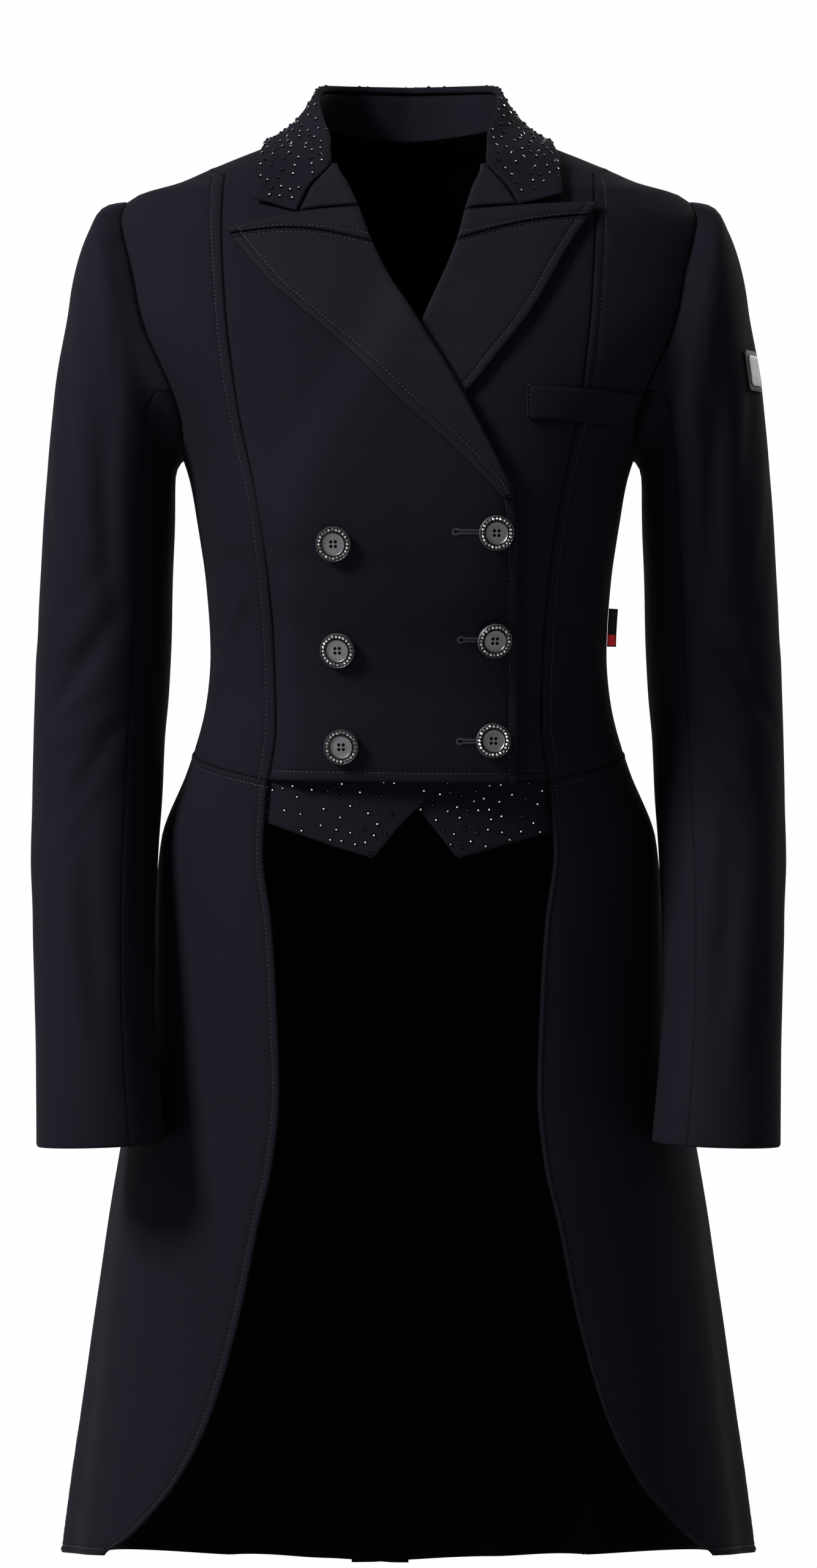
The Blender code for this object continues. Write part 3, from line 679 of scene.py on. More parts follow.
@dataclass
class Shell:
    """A finished surface: its two faces and what was measured on the way.

    Attributes:
        outer: points of the outer face, in rows.
        inner: points of the inner face.
        normals: the form's direction outwards at each point.
        shades: painted shade at each point, from 0 to 1: how much darker seams, topstitching and
            free edges are painted.
        acrosses: distance of each point from the first edge.
        downs: distance of each row from the top edge.
    """

    outer: Grid
    inner: Grid
    normals: Grid
    shades: list[list[float]]
    acrosses: list[list[float]]
    downs: list[float]

    def on(self, side: Side) -> Shell:
        """The shell, which is built on the wearer's left, as it lies on one side.

        Args:
            side: the wearer's side.

        Returns:
            The same shell, or its mirror image for the right.
        """
        return self if side is Side.LEFT else replace(
            self, outer=mirrored(self.outer), inner=mirrored(self.inner),
            normals=mirrored(self.normals))

    def column(self, distance: float, from_last: bool = False) -> int:
        """Index of the column at a distance from an edge."""
        row = self.acrosses[len(self.acrosses) // 2]
        return nearest(row, row[-1] - distance if from_last else distance)

    def row(self, distance: float, from_bottom: bool = False) -> int:
        """Index of the row at a distance from the top or the bottom edge."""
        return nearest(self.downs, self.downs[-1] - distance if from_bottom else distance)

    def across(self, row: int, start: int = 0, end: int | None = None) -> Row:
        """Points and directions outwards of a stretch of one row."""
        return self.outer[row][start:end], self.normals[row][start:end]

    def down(self, column: int, start: int = 0, end: int | None = None) -> Row:
        """Points and directions outwards of a stretch of one column."""
        return tuple([row[column] for row in grid[start:end]]
                     for grid in (self.outer, self.normals))

    def flat_size(self) -> tuple[float, float, float]:
        """Measures the flat cut.

        Returns:
            Its width, length and area, in metres and square metres.
        """
        width = max(row[-1] for row in self.acrosses) * MM
        length = max(running(column)[-1] for column in zip(*self.outer)) * MM
        area = 0.0
        for upper, lower in zip(self.outer, self.outer[1:]):
            for a, b, c, d in zip(upper, upper[1:], lower[1:], lower):
                area += (b - a).cross(c - a).length / 2 + (c - a).cross(d - a).length / 2
        return width, length, area * MM * MM

    def wall(self, name: str, finish: Finish, lining: Finish,
             sharp: float = 55.0) -> bpy.types.Object:
        """Closes a wall between the two faces, with its weave as a UV map and the painted shade of
        seams and edges on its points.

        Args:
            name: the new object's name.
            finish: of the outer face and the rim.
            lining: the finish of the inner face.
            sharp: angle in degrees from which an edge isn't smoothed.

        Returns:
            The new object.
        """
        rows, columns = len(self.outer), len(self.outer[0])
        work = bmesh.new()
        uv = work.loops.layers.uv.new("weave")
        # painted shade of seams, topstitching and free edges, kept on the points for the cloth's
        # colour
        groove = work.verts.layers.float.new("groove")
        faces = [[[work.verts.new(p * MM) for p in row] for row in grid]
                 for grid in (self.outer, self.inner)]
        where = {}
        for grid, i, j in product(faces, range(rows), range(columns)):
            where[grid[i][j]] = (self.acrosses[i][j] * MM, self.downs[i] * MM)
            grid[i][j][groove] = self.shades[i][j]
        for i, j, index in product(range(rows - 1), range(columns - 1), (0, 1)):
            grid = faces[index]
            corners = grid[i][j], grid[i + 1][j], grid[i + 1][j + 1], grid[i][j + 1]
            work.faces.new(corners[::1 - 2 * index]).material_index = index
        rim = ([(i, 0) for i in range(rows)] + [(rows - 1, j) for j in range(1, columns)]
               + [(i, columns - 1) for i in range(rows - 2, -1, -1)]
               + [(0, j) for j in range(columns - 2, 0, -1)])
        for (i, j), (k, m) in zip(rim, rim[1:] + rim[:1]):
            work.faces.new((faces[0][k][m], faces[0][i][j], faces[1][i][j], faces[1][k][m]))
        for face in work.faces:
            face.smooth = True
            for loop in face.loops:
                loop[uv].uv = where[loop.vert]
        bmesh.ops.recalc_face_normals(work, faces=work.faces)
        mesh = meshed(name, work)
        mesh.set_sharp_from_angle(angle=math.radians(sharp))
        for each in (finish, lining):
            mesh.materials.append(each.build())
        return linked(name, mesh)


@dataclass
class Panel:
    """One piece of cloth as a surface on a form.

    Attributes:
        place: gives the form's place at a station down and a share across.
        stations: place() runs down from 0 to this.
        top, bottom, first, last: the four edges.
        point, outward: the form itself.
        lift: how far the outer face lies outside the form.
        relief: creases and unevenness, added to both faces.
        thickness: of the wall.
        step: about how far apart points are away from the edges.
        roll: radius of the fold that turns the first edge in, 0 for none.
    """

    place: Callable[[float, float], Place]
    stations: float
    top: Edging = SEWN
    bottom: Edging = SEWN
    first: Edging = SEWN
    last: Edging = SEWN
    point: Surface = FORM.point
    outward: Surface = FORM.outward
    lift: Callable[[float, float], float] = lambda _a, _b: 0.0
    relief: Height = lambda _a, _b, _p: 0.0
    thickness: float = WALL
    step: float = 6.5
    roll: float = 0.0

    def shell(self) -> Shell:
        """Builds both faces of the wall.

        Returns:
            The shell, with its first edge rolled in where the piece has a roll.
        """
        samples = 60
        lengths = running([self.point(*self.place(self.stations * k / samples, 0.5))
                           for k in range(samples + 1)])
        first, last = self.first.margins(), self.last.margins()
        downs = spread(lengths[-1], self.top.margins(), self.bottom.margins(),
                       max(2, round(lengths[-1] / self.step)))
        lines = [self._line(self.stations * locate(lengths, d) / samples) for d in downs]
        columns = max(2, round(max(widths[-1] for _, widths in lines) / self.step))
        grids = tuple([] for _ in range(5))
        for down, (station, widths) in zip(downs, lines):
            cells = []
            for across in spread(widths[-1], first, last, columns):
                a, b = self.place(station, locate(widths, across) / (len(widths) - 1))
                base, normal = self.point(a, b), self.outward(a, b)
                lift = self.lift(a, b) + self.relief(a, b, base)
                edges = ((self.first, across), (self.last, widths[-1] - across),
                         (self.top, down), (self.bottom, lengths[-1] - down))
                cells.append((
                    base + normal * (lift + sum(e.relief(d) for e, d in edges)),
                    base + normal * (lift - self.thickness
                                     + max(e.relief_inside(d) for e, d in edges)),
                    normal, max(e.shade(d) for e, d in edges), across))
            for grid, row in zip(grids, zip(*cells)):
                grid.append(list(row))
        made = Shell(*grids, downs)
        return self._rolled(made) if self.roll else made

    def _line(self, station: float) -> tuple[float, list[float]]:
        """A station and the running widths of its row."""
        line = [self.point(*self.place(station, k / 12)) for k in range(13)]
        return station, running(line)

    def _rolled(self, shell: Shell) -> Shell:
        """Adds the fold that carries the first edge round to the inside.

        Args:
            shell: the flat piece, which is changed.

        Returns:
            The same shell.
        """
        steps, kept, turned = 6, 3, math.radians(170)
        reach = self.roll * turned
        for i, (outer, normals) in enumerate(zip(shell.outer, shell.normals)):
            normal = normals[0]
            away = outer[4] - outer[0]
            away = (away - normal * away.dot(normal)).normalized()
            centre = outer[kept] - normal * (self.roll + 0.2)
            angles = [turned * k / steps for k in range(steps, 0, -1)]
            rays = [normal * math.cos(angle) - away * math.sin(angle) for angle in angles]
            inside = max(self.roll - self.thickness, 0.25)
            for grid, fold in ((shell.outer, [centre + ray * self.roll for ray in rays]),
                               (shell.inner, [centre + ray * inside for ray in rays]),
                               (shell.normals, [normal] * steps), (shell.shades, [0.0] * steps)):
                grid[i] = fold + grid[i][kept:]
            shell.acrosses[i] = ([mix(0, reach, k / steps) for k in range(steps)]
                                 + [w + reach for w in shell.acrosses[i][kept:]])
        return shell


def linked(name: str, data: bpy.types.ID) -> bpy.types.Object:
    """Links a new object at the origin.

    Args:
        name: the object's name.
        data: its mesh, light or camera.

    Returns:
        The object.
    """
    made = bpy.data.objects.new(name, data)
    bpy.context.scene.collection.objects.link(made)
    return made


def meshed(name: str, work: bmesh.types.BMesh) -> bpy.types.Mesh:
    """Turns a bmesh, which ends with that, into a mesh.

    Args:
        name: the mesh's name.
        work: the bmesh.

    Returns:
        The mesh.
    """
    mesh = bpy.data.meshes.new(name)
    work.to_mesh(mesh)
    work.free()
    return mesh


def applied(carrier: bpy.types.Object) -> bpy.types.Mesh:
    """Applies an object's modifiers and removes the object.

    Args:
        carrier: the object.

    Returns:
        Its shape as a plain mesh.
    """
    graph = bpy.context.evaluated_depsgraph_get()
    mesh = bpy.data.meshes.new_from_object(carrier.evaluated_get(graph))
    bpy.data.objects.remove(carrier)
    return mesh


class Wire:
    """A socket of a node tree, with the maths that this file writes on it."""

    def __init__(self, tree: Tree, socket: bpy.types.NodeSocket) -> None:
        """Wraps one output socket."""
        self.tree, self.socket = tree, socket

    def _maths(self, operation: str, *values: Wire | float) -> Wire:
        """Adds one Math node and returns its result."""
        return self.tree.grow("ShaderNodeMath", list(values), operation=operation)

    def __add__(self, other: Wire | float) -> Wire:
        """Self plus other."""
        return self._maths("ADD", self, other)

    def __rsub__(self, other: float) -> Wire:
        """Other less self."""
        return self._maths("SUBTRACT", other, self)

    def __mul__(self, other: Wire | float) -> Wire:
        """Self times other."""
        return self._maths("MULTIPLY", self, other)

    def wave(self, length: float) -> Wire:
        """A triangle wave from 0 to 1 that repeats every `length`."""
        return self._maths("PINGPONG", self * (2 / length), 1.0)

    def above(self, limit: float) -> Wire:
        """1 where self is above the limit, 0 elsewhere."""
        return self._maths("GREATER_THAN", self, limit)


class Tree:
    """One node tree, and the only way that this file adds nodes to it."""

    def __init__(self, tree: bpy.types.NodeTree) -> None:
        """Wraps a shader or geometry tree."""
        self.tree = tree

    def add(self, kind: str, values: dict | list | None = None,
            **settings: object) -> bpy.types.Node:
        """Adds a node.

        Args:
            kind: the node's type.
            values: what its inputs get, by name or in order: a number, a colour, a
                material or a Wire.
            settings: its own properties, set first. `stops` fills a colour ramp.

        Returns:
            The new node.
        """
        node = self.tree.nodes.new(kind)
        for key, value in settings.items():
            if key == "stops":
                self._stops(node.color_ramp, value)
            else:
                setattr(node, key, value)
        pairs = enumerate(values) if isinstance(values, list) else (values or {}).items()
        for key, value in pairs:
            if isinstance(value, Wire):
                self.join(value, node, key)
            else:
                self._socket(node.inputs, key).default_value = value
        return node

    def grow(self, kind: str, values: dict | list | None = None, out: str | int = 0,
             **settings: object) -> Wire:
        """Adds a node, as `add` does, and returns one of its outputs by name or index."""
        return Wire(self, self._socket(self.add(kind, values, **settings).outputs, out))

    def join(self, wire: Wire, node: bpy.types.Node, key: str | int) -> None:
        """Leads a wire to an input of a node."""
        self.tree.links.new(wire.socket, self._socket(node.inputs, key))

    @staticmethod
    def _stops(ramp: bpy.types.ColorRamp, stops: Sequence[tuple[float, Colour]]) -> None:
        """Fills a colour ramp.

        Args:
            ramp: the ramp, as it comes with its node.
            stops: (place, colour) of each stop.
        """
        while len(ramp.elements) < len(stops):
            ramp.elements.new(1.0)
        for element, (place, colour) in zip(ramp.elements, stops):
            element.position = place
            element.color = (*colour, 1.0)

    @staticmethod
    def _socket(sockets: Sequence[bpy.types.NodeSocket], key: str | int) -> bpy.types.NodeSocket:
        """The socket at an index, or the enabled one with that name."""
        return (sockets[key] if isinstance(key, int)
                else next(s for s in sockets if s.name == key and s.enabled))


@dataclass(frozen=True)
class Finish:
    """What every finish shares: a name, a slot of the record, and a Principled shader."""

    name: str
    slot: str
    colour: Colour
    roughness: float
    metallic: float = 0.0
    sheen: float = 0.0
    sheen_roughness: float = 0.45
    specular: float = 0.5

    def build(self) -> bpy.types.Material:
        """Makes the material, or finds it if it has been made.

        Returns:
            The material.
        """
        made = bpy.data.materials.get(self.name)
        if made:
            return made
        made = bpy.data.materials.new(self.name)
        made.use_nodes = True
        shader = made.node_tree.nodes["Principled BSDF"]
        for socket, value in (("Base Color", (*self.colour, 1.0)),
                              ("Roughness", self.roughness), ("Metallic", self.metallic),
                              ("Sheen Weight", self.sheen),
                              ("Sheen Roughness", self.sheen_roughness),
                              ("Specular IOR Level", self.specular)):
            shader.inputs[socket].default_value = value
        self.dress(Tree(made.node_tree), shader)
        return made

    def dress(self, tree: Tree, shader: bpy.types.Node) -> None:
        """Adds the pattern that this finish has; a plain one adds soft unevenness."""
        self._tint(tree, shader, self._noise(tree, 900.0, 3.0), 0.8, 1.25)

    @staticmethod
    def _noise(tree: Tree, scale: float, detail: float) -> Wire:
        """Noise on Object coordinates."""
        where = tree.grow("ShaderNodeTexCoord", out="Object")
        return tree.grow("ShaderNodeTexNoise", {"Vector": where, "Scale": scale, "Detail": detail})

    @staticmethod
    def _mark(tree: Tree, name: str) -> Wire:
        """What the mesh itself stores under a name."""
        return tree.grow("ShaderNodeAttribute", out="Fac", attribute_name=name)

    @staticmethod
    def _mixed(tree: Tree, share: Wire, first: Colour | Wire, last: Colour | Wire) -> Wire:
        """Runs from one colour to another.

        Args:
            tree: the material's nodes.
            share: 0 for the first colour, 1 for the last.
            first, last: the colours.

        Returns:
            The mixed colour.
        """
        ends = (c if isinstance(c, Wire) else (*c, 1.0) for c in (first, last))
        return tree.grow("ShaderNodeMix", dict(zip(("Factor", "A", "B"), (share, *ends))),
                         "Result", data_type="RGBA")

    def _tint(self, tree: Tree, shader: bpy.types.Node, mask: Wire,
              low: float, high: float, shade: Wire | None = None) -> None:
        """Lets the colour run between two strengths of itself.

        Args:
            tree, shader: the material's nodes and its shader.
            mask: 0 for the low strength, 1 for the high one.
            low, high: the two strengths.
            shade: painted shade, how far the result goes to black, from 0 to 1.
        """
        made = self._mixed(tree, mask, *(tuple(c * k for c in self.colour) for k in (low, high)))
        # painted shade: the colour mixed towards black
        if shade:
            made = self._mixed(tree, shade, made, (0.0, 0.0, 0.0))
        tree.join(made, shader, "Base Color")

    def _gloss(self, tree: Tree, shader: bpy.types.Node, cloud: Wire, swing: float) -> None:
        """Lets the roughness swing about its own value along a cloud of noise."""
        shine = cloud * swing + (self.roughness - swing / 2)
        tree.join(tree.grow("ShaderNodeClamp", {"Value": shine}), shader, "Roughness")

    @staticmethod
    def _bump(tree: Tree, shader: bpy.types.Node, height: Wire, strength: float,
              distance: float) -> None:
        """Turns a height into the shader's normal."""
        tree.join(tree.grow("ShaderNodeBump", {
            "Height": height, "Strength": strength, "Distance": distance}), shader, "Normal")


@dataclass(frozen=True)
class Twill(Finish):
    """Matt cloth with a fine diagonal rib that follows the piece's own weave."""

    rib: float = 0.9 * MM
    strength: float = 0.25

    def dress(self, tree: Tree, shader: bpy.types.Node) -> None:
        """Adds the rib, the yarn's unevenness, a soft change of tone and the painted shade of
        seams, topstitching and free edges.

        Args:
            tree, shader: the material's nodes and its shader.
        """
        parts = tree.add("ShaderNodeSeparateXYZ", [
            tree.grow("ShaderNodeUVMap", uv_map="weave")])
        across, down = (Wire(tree, parts.outputs[key]) for key in "XY")
        rib, weft = (across + down).wave(self.rib), down.wave(self.rib * 0.5)
        yarn, drift = self._noise(tree, 1400.0, 2.0), self._noise(tree, 9.0, 3.0)
        self._bump(tree, shader, rib * 0.6 + weft * 0.2 + yarn * 0.5, self.strength, 0.0003)
        # the colour is painted darker where the points carry painted shade of seams and edges
        self._tint(tree, shader, drift * 0.6 + rib * 0.25 + yarn * 0.15, 0.82, 1.22,
                   self._mark(tree, "groove") * 0.9)
        self._gloss(tree, shader, drift, 0.1)


@dataclass(frozen=True)
class Satin(Finish):
    """Lining: smooth, with faint crosswise slubs."""

    def dress(self, tree: Tree, shader: bpy.types.Node) -> None:
        """Adds the slubs and the lining's soft puckers.

        Args:
            tree, shader: the material's nodes and its shader.
        """
        stretched = tree.grow("ShaderNodeMapping", {
            "Vector": tree.grow("ShaderNodeUVMap", uv_map="weave"), "Scale": (60.0, 900.0, 1.0)})
        slub = tree.grow("ShaderNodeTexNoise", {
            "Vector": stretched, "Scale": 1.0, "Detail": 2.0})
        self._tint(tree, shader, slub, 0.8, 1.3)
        self._bump(tree, shader, self._noise(tree, 45.0, 2.0) + slub * 0.2, 0.35, 0.002)


@dataclass(frozen=True)
class Stone(Finish):
    """Cut stones: crowns painted dark as shade round tables painted bright as a glint, some bright
    and some jet.

    Attributes:
        side: strength of the crown's facets, painted dark as shade.
        jet: strength of a jet stone's table, a faint painted glint on a dark stone.
        share_jet: how many of the stones are jet.
    """

    side: float = 0.02
    jet: float = 0.03
    share_jet: float = 0.3

    def dress(self, tree: Tree, shader: bpy.types.Node) -> None:
        """Paints each table bright as a glint, by its stone's own number, and the crown round it
        dark as shade.

        Args:
            tree, shader: the material's nodes and its shader.
        """
        low, high = self.jet, self.colour[0]
        painted_glint = tree.grow("ShaderNodeValToRGB", {"Fac": self._mark(tree, "cast")}, stops=(
            (0.0, (low, low, low)), (self.share_jet, (low, low, low * 1.1)),
            (self.share_jet + 0.05, (high * 0.5, high * 0.5, high * 0.52)), (1.0, self.colour)))
        # crown facets painted dark as shade, tables painted with their glint
        tree.join(self._mixed(tree, self._mark(tree, "table"), (self.side,) * 3, painted_glint),
                  shader, "Base Color")


@dataclass(frozen=True)
class GunMetal(Finish):
    """Dark polished metal with a turned grain and worn tone."""

    def dress(self, tree: Tree, shader: bpy.types.Node) -> None:
        """Adds fine grain and a soft change of gloss.

        Args:
            tree, shader: the material's nodes and its shader.
        """
        cloud = self._noise(tree, 120.0, 3.0)
        self._tint(tree, shader, cloud, 0.75, 1.3)
        self._bump(tree, shader, self._noise(tree, 2200.0, 2.0), 0.15, 0.0001)
        self._gloss(tree, shader, cloud, 0.2)


@dataclass(frozen=True)
class Ribbon(Finish):
    """Woven label ribbon with a coloured band between two heights."""

    band: Colour = (0.35, 0.01, 0.015)
    low: float = -0.340
    high: float = -0.332

    def dress(self, tree: Tree, shader: bpy.types.Node) -> None:
        """Adds the weave's ribs and the band.

        Args:
            tree, shader: the material's nodes and its shader.
        """
        height = tree.grow("ShaderNodeSeparateXYZ", [
            tree.grow("ShaderNodeTexCoord", out="Object")], "Z")
        inside = height.above(self.low) * (1 - height.above(self.high))
        tree.join(self._mixed(tree, inside, self.colour, self.band), shader, "Base Color")
        self._bump(tree, shader, height.wave(0.5 * MM), 0.4, 0.0002)


CLOTH = Twill("riding_twill", "cloth", (0.0018, 0.0019, 0.0030), 0.8, sheen=0.002, specular=0.012)
BAND = Twill("lapel_twill", "cloth", (0.0022, 0.0023, 0.0033), 0.78, sheen=0.002, specular=0.014)
# black lining of every panel's inner face, painted darker than a real lining as the shade inside
# the coat
LINING_WITH_PAINTED_SHADE = Satin("black_lining", "cloth", (0.0003, 0.0003, 0.0005), 0.7, specular=0.006)
THREAD = Finish("topstitch_thread", "cloth", (0.011, 0.0115, 0.0145), 0.5, specular=0.06)
# painted shade: near-black for the walls of the button's holes and the channel between its rim
# stones
PAINTED_PIT_SHADE = Finish("button_pit", "button_metal", (0.0008, 0.0008, 0.0008), 0.7, specular=0.03)
METAL = GunMetal("gunmetal", "button_metal", (0.056, 0.057, 0.060), 0.42, metallic=0.85,
                 specular=0.2)
# stones on the button rims and on the collar and vest points: tables painted bright as glints,
# crown facets painted dark as shade
RIM_STONE = Stone("rim_facets", "button_metal", (0.50, 0.50, 0.51), 0.2, metallic=0.85,
                  side=0.09, jet=0.02, share_jet=0.3)
STONE = Stone("crystals", "cloth", (0.75, 0.75, 0.78), 0.1, metallic=0.95, specular=0.2,
              side=0.0015, jet=0.03, share_jet=0.22)
TRIM = Finish("badge_rubber", "black_trim", (0.004, 0.004, 0.0045), 0.55, specular=0.15)
PLATE = GunMetal("bare_plate", "badge_plate", (0.2, 0.2, 0.204), 0.45, metallic=0.6, specular=0.2)
RIBBON = Ribbon("label_ribbon", "black_trim", (0.003, 0.003, 0.0035), 0.65, specular=0.1)
FLOOR = Finish("studio_floor", "", (0.5, 0.5, 0.5), 0.9)


class Workroom:
    """Makes the objects and keeps the rows of stitches until they are sewn."""

    def __init__(self) -> None:
        """Starts with no stitches."""
        self.rows: list[Row] = []

    def sew(self, points: list[Vector], normals: list[Vector]) -> None:
        """Keeps one row of stitches, by its points and the cloth's direction outwards."""
        self.rows.append((points, normals))

    def cloth(self, name: str, shell: Shell, rests_on: Sequence[str],
              held: str = "draped", finish: Finish = CLOTH) -> None:
        """Args:
            name: the piece's name.
            shell: its two faces.
            rests_on: the pieces or nodes that carry it; not used.
            held: how it is held, in the frame's own words; not used.
            finish: the cloth.
        """
        made = self.piece(name, shell, finish)
        width, length, area = shell.flat_size()
        area = clamp(area, LEAST_FILL * width * length, width * length)
        LOG.info("%s: cut %.3f by %.3f m, %.4f square metres", name, width, length, area)

    def piece(self, name: str, shell: Shell, finish: Finish) -> bpy.types.Object:
        """Makes one wall and lets it stand for its node."""
        return self.declare(shell.wall(name + "_cloth", finish, LINING_WITH_PAINTED_SHADE), name, finish.slot)

    @staticmethod
    def declare(made: bpy.types.Object, node: str, slot: str) -> bpy.types.Object:
        """Lets an object ride on the coat in place of a node.

        Args:
            made: the object.
            node: the node that it stands for.
            slot: the record's slot of its finish; not used.

        Returns:
            The same object.
        """
        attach(made, "root")
        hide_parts(node)
        return made


Laying = Callable[[Tree, dict[str, Wire]], Wire]


class Sewing:
    """Geometry Nodes trees that lay small things along lines and over faces."""

    @staticmethod
    def grow(name: str, base: bpy.types.Mesh, finish: Finish, lay: Laying, **sizes: float) -> None:
        """Lays small things on a mesh and keeps them as a piece with a plain mesh.

        Args:
            name: the new piece's name.
            base: the mesh that they lie on.
            finish: what they are made of.
            lay: adds the nodes that lay them, from what comes into the tree.
            sizes: the tree's named inputs in metres, with a Seed.
        """
        group = bpy.data.node_groups.new(name, "GeometryNodeTree")
        kinds = {"Geometry": "NodeSocketGeometry", "Seed": "NodeSocketInt"}
        for key in ("Geometry", *sizes):
            group.interface.new_socket(key, in_out="INPUT",
                                       socket_type=kinds.get(key, "NodeSocketFloat"))
        group.interface.new_socket("Geometry", in_out="OUTPUT", socket_type="NodeSocketGeometry")
        tree = Tree(group)
        given = {s.name: Wire(tree, s) for s in tree.add("NodeGroupInput").outputs}
        real = tree.grow("GeometryNodeRealizeInstances", {"Geometry": lay(tree, given)})
        tree.add("NodeGroupOutput", [tree.grow("GeometryNodeSetMaterial", {
            "Geometry": real, "Material": finish.build()})])
        carrier = linked(name + "_base", base)
        modifier = carrier.modifiers.new("grow", "NODES")
        modifier.node_group = group
        for item in group.interface.items_tree:
            if item.in_out == "INPUT" and item.name in sizes:
                modifier[item.identifier] = sizes[item.name]
        mesh = applied(carrier)
        mesh.name = name
        made = linked(name, mesh)
        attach(made, "root")
        LOG.info("%s: %d faces", name, len(mesh.polygons))

    @classmethod
    def stitches(cls, name: str, rows: Iterable[Row], across: bool, **sizes: float) -> None:
        """Lays threads along lines: Pitch apart, and Length, Thick and High in mm."""
        cls.grow(name, cls.lines(name, rows), THREAD, partial(cls._threads, across),
                 Seed=7, **{key: value * MM for key, value in sizes.items()})

    @classmethod
    def rim_stones(cls, name: str, rows: Iterable[Row], wide: float, seed: int) -> None:
        """Sets one cut stone, that wide in mm, upright on each point."""
        cls.grow(name, cls.lines(name, rows), RIM_STONE, cls._set, Wide=wide * MM, Seed=seed)

    @classmethod
    def crystals(cls, name: str, grid: Grid, wide: float, apart: float, seed: int) -> None:
        """Scatters cut stones, that wide and at least that far apart in mm, over a grid."""
        cls.grow(name, cls.face(name + "_field", grid), STONE, cls._scattered,
                 Wide=wide * MM, Apart=apart * MM, Density=1.4 / (apart * MM) ** 2, Seed=seed)

    @staticmethod
    def _upright(tree: Tree) -> Wire:
        """The rotation that stands an instance up along the cloth's `outward`."""
        out = tree.grow("GeometryNodeInputNamedAttribute", {"Name": "outward"}, "Attribute",
                        data_type="FLOAT_VECTOR")
        return tree.grow("FunctionNodeAlignRotationToVector", {"Vector": out}, axis="Z")

    @classmethod
    def _threads(cls, across: bool, tree: Tree, given: dict[str, Wire]) -> Wire:
        """Adds the nodes that lay one small thread after another along every line.

        Args:
            across: whether the threads lie across the line, as in a buttonhole.
            tree, given: the tree and its inputs.

        Returns:
            The instances.
        """
        even = tree.grow("GeometryNodeResampleCurve", {
            "Curve": tree.grow("GeometryNodeMeshToCurve", {"Mesh": given["Geometry"]}),
            "Length": given["Pitch"]}, mode="LENGTH")
        turned = tree.grow("FunctionNodeAlignRotationToVector", {
            "Rotation": cls._upright(tree), "Vector": tree.grow("GeometryNodeInputTangent")},
            axis="Y" if across else "X", pivot_axis="Z")
        bead = tree.grow("GeometryNodeMeshUVSphere", {
            "Segments": 6, "Rings": 4, "Radius": 1.0}, "Mesh")
        size = tree.grow("ShaderNodeCombineXYZ", [
            given["Length"] * 0.5, given["Thick"] * 0.5, given["High"]])
        wobble = tree.grow("FunctionNodeRandomValue", {
            "Min": 0.9, "Max": 1.08, "Seed": given["Seed"]}, "Value", data_type="FLOAT")
        sized = tree.grow("ShaderNodeVectorMath", {"Vector": size, "Scale": wobble},
                          "Vector", operation="SCALE")
        return tree.grow("GeometryNodeInstanceOnPoints", {
            "Points": even, "Instance": bead, "Rotation": turned, "Scale": sized})

    @classmethod
    def _set(cls, tree: Tree, given: dict[str, Wire]) -> Wire:
        """Adds the nodes that set a stone on each point, upright on its `outward`."""
        points = tree.grow("GeometryNodeMeshToPoints", {"Mesh": given["Geometry"]})
        return cls._stones(tree, given, points, cls._upright(tree))

    @classmethod
    def _scattered(cls, tree: Tree, given: dict[str, Wire]) -> Wire:
        """Adds the nodes that scatter stones over a face.

        Args:
            tree, given: the tree and its inputs.

        Returns:
            The instances.
        """
        spots = tree.add("GeometryNodeDistributePointsOnFaces", {
            "Mesh": given["Geometry"], "Distance Min": given["Apart"],
            "Density Max": given["Density"], "Seed": given["Seed"]}, distribute_method="POISSON")
        return cls._stones(tree, given, *(
            Wire(tree, spots.outputs[k]) for k in ("Points", "Rotation")))

    @staticmethod
    def _stones(tree: Tree, given: dict[str, Wire], points: Wire, rotation: Wire) -> Wire:
        """Instances a cut stone on points, each with its own turn and `cast`.

        Args:
            tree: the tree.
            given: its inputs, with Wide and Seed.
            points: where the stones go.
            rotation: how they stand there.

        Returns:
            The instances.
        """
        crown = tree.add("GeometryNodeMeshCone", {
            "Vertices": 8, "Side Segments": 1, "Radius Top": 0.2, "Radius Bottom": 0.5,
            "Depth": 0.3}, fill_type="NGON")
        # marks the tables, which the stones' finish paints bright as a glint over crowns painted
        # dark as shade
        marked = tree.grow("GeometryNodeStoreNamedAttribute", {
            "Geometry": Wire(tree, crown.outputs["Mesh"]), "Name": "table",
            "Value": Wire(tree, crown.outputs["Top"])}, data_type="FLOAT", domain="FACE")
        spin = tree.grow("FunctionNodeRandomValue", {
            "Min": (-0.10, -0.10, 0.0), "Max": (0.10, 0.10, 6.2), "Seed": given["Seed"]},
            "Value", data_type="FLOAT_VECTOR")
        turned = tree.grow("FunctionNodeRotateRotation", {
            "Rotation": rotation, "Rotate By": spin}, rotation_space="LOCAL")
        laid = tree.grow("GeometryNodeInstanceOnPoints", {
            "Points": points, "Instance": marked, "Rotation": turned, "Scale": given["Wide"]})
        cast = tree.grow("FunctionNodeRandomValue", {
            "Min": 0.0, "Max": 1.0, "Seed": given["Seed"] + 3}, "Value", data_type="FLOAT")
        return tree.grow("GeometryNodeStoreNamedAttribute", {
            "Geometry": laid, "Name": "cast", "Value": cast}, data_type="FLOAT", domain="INSTANCE")

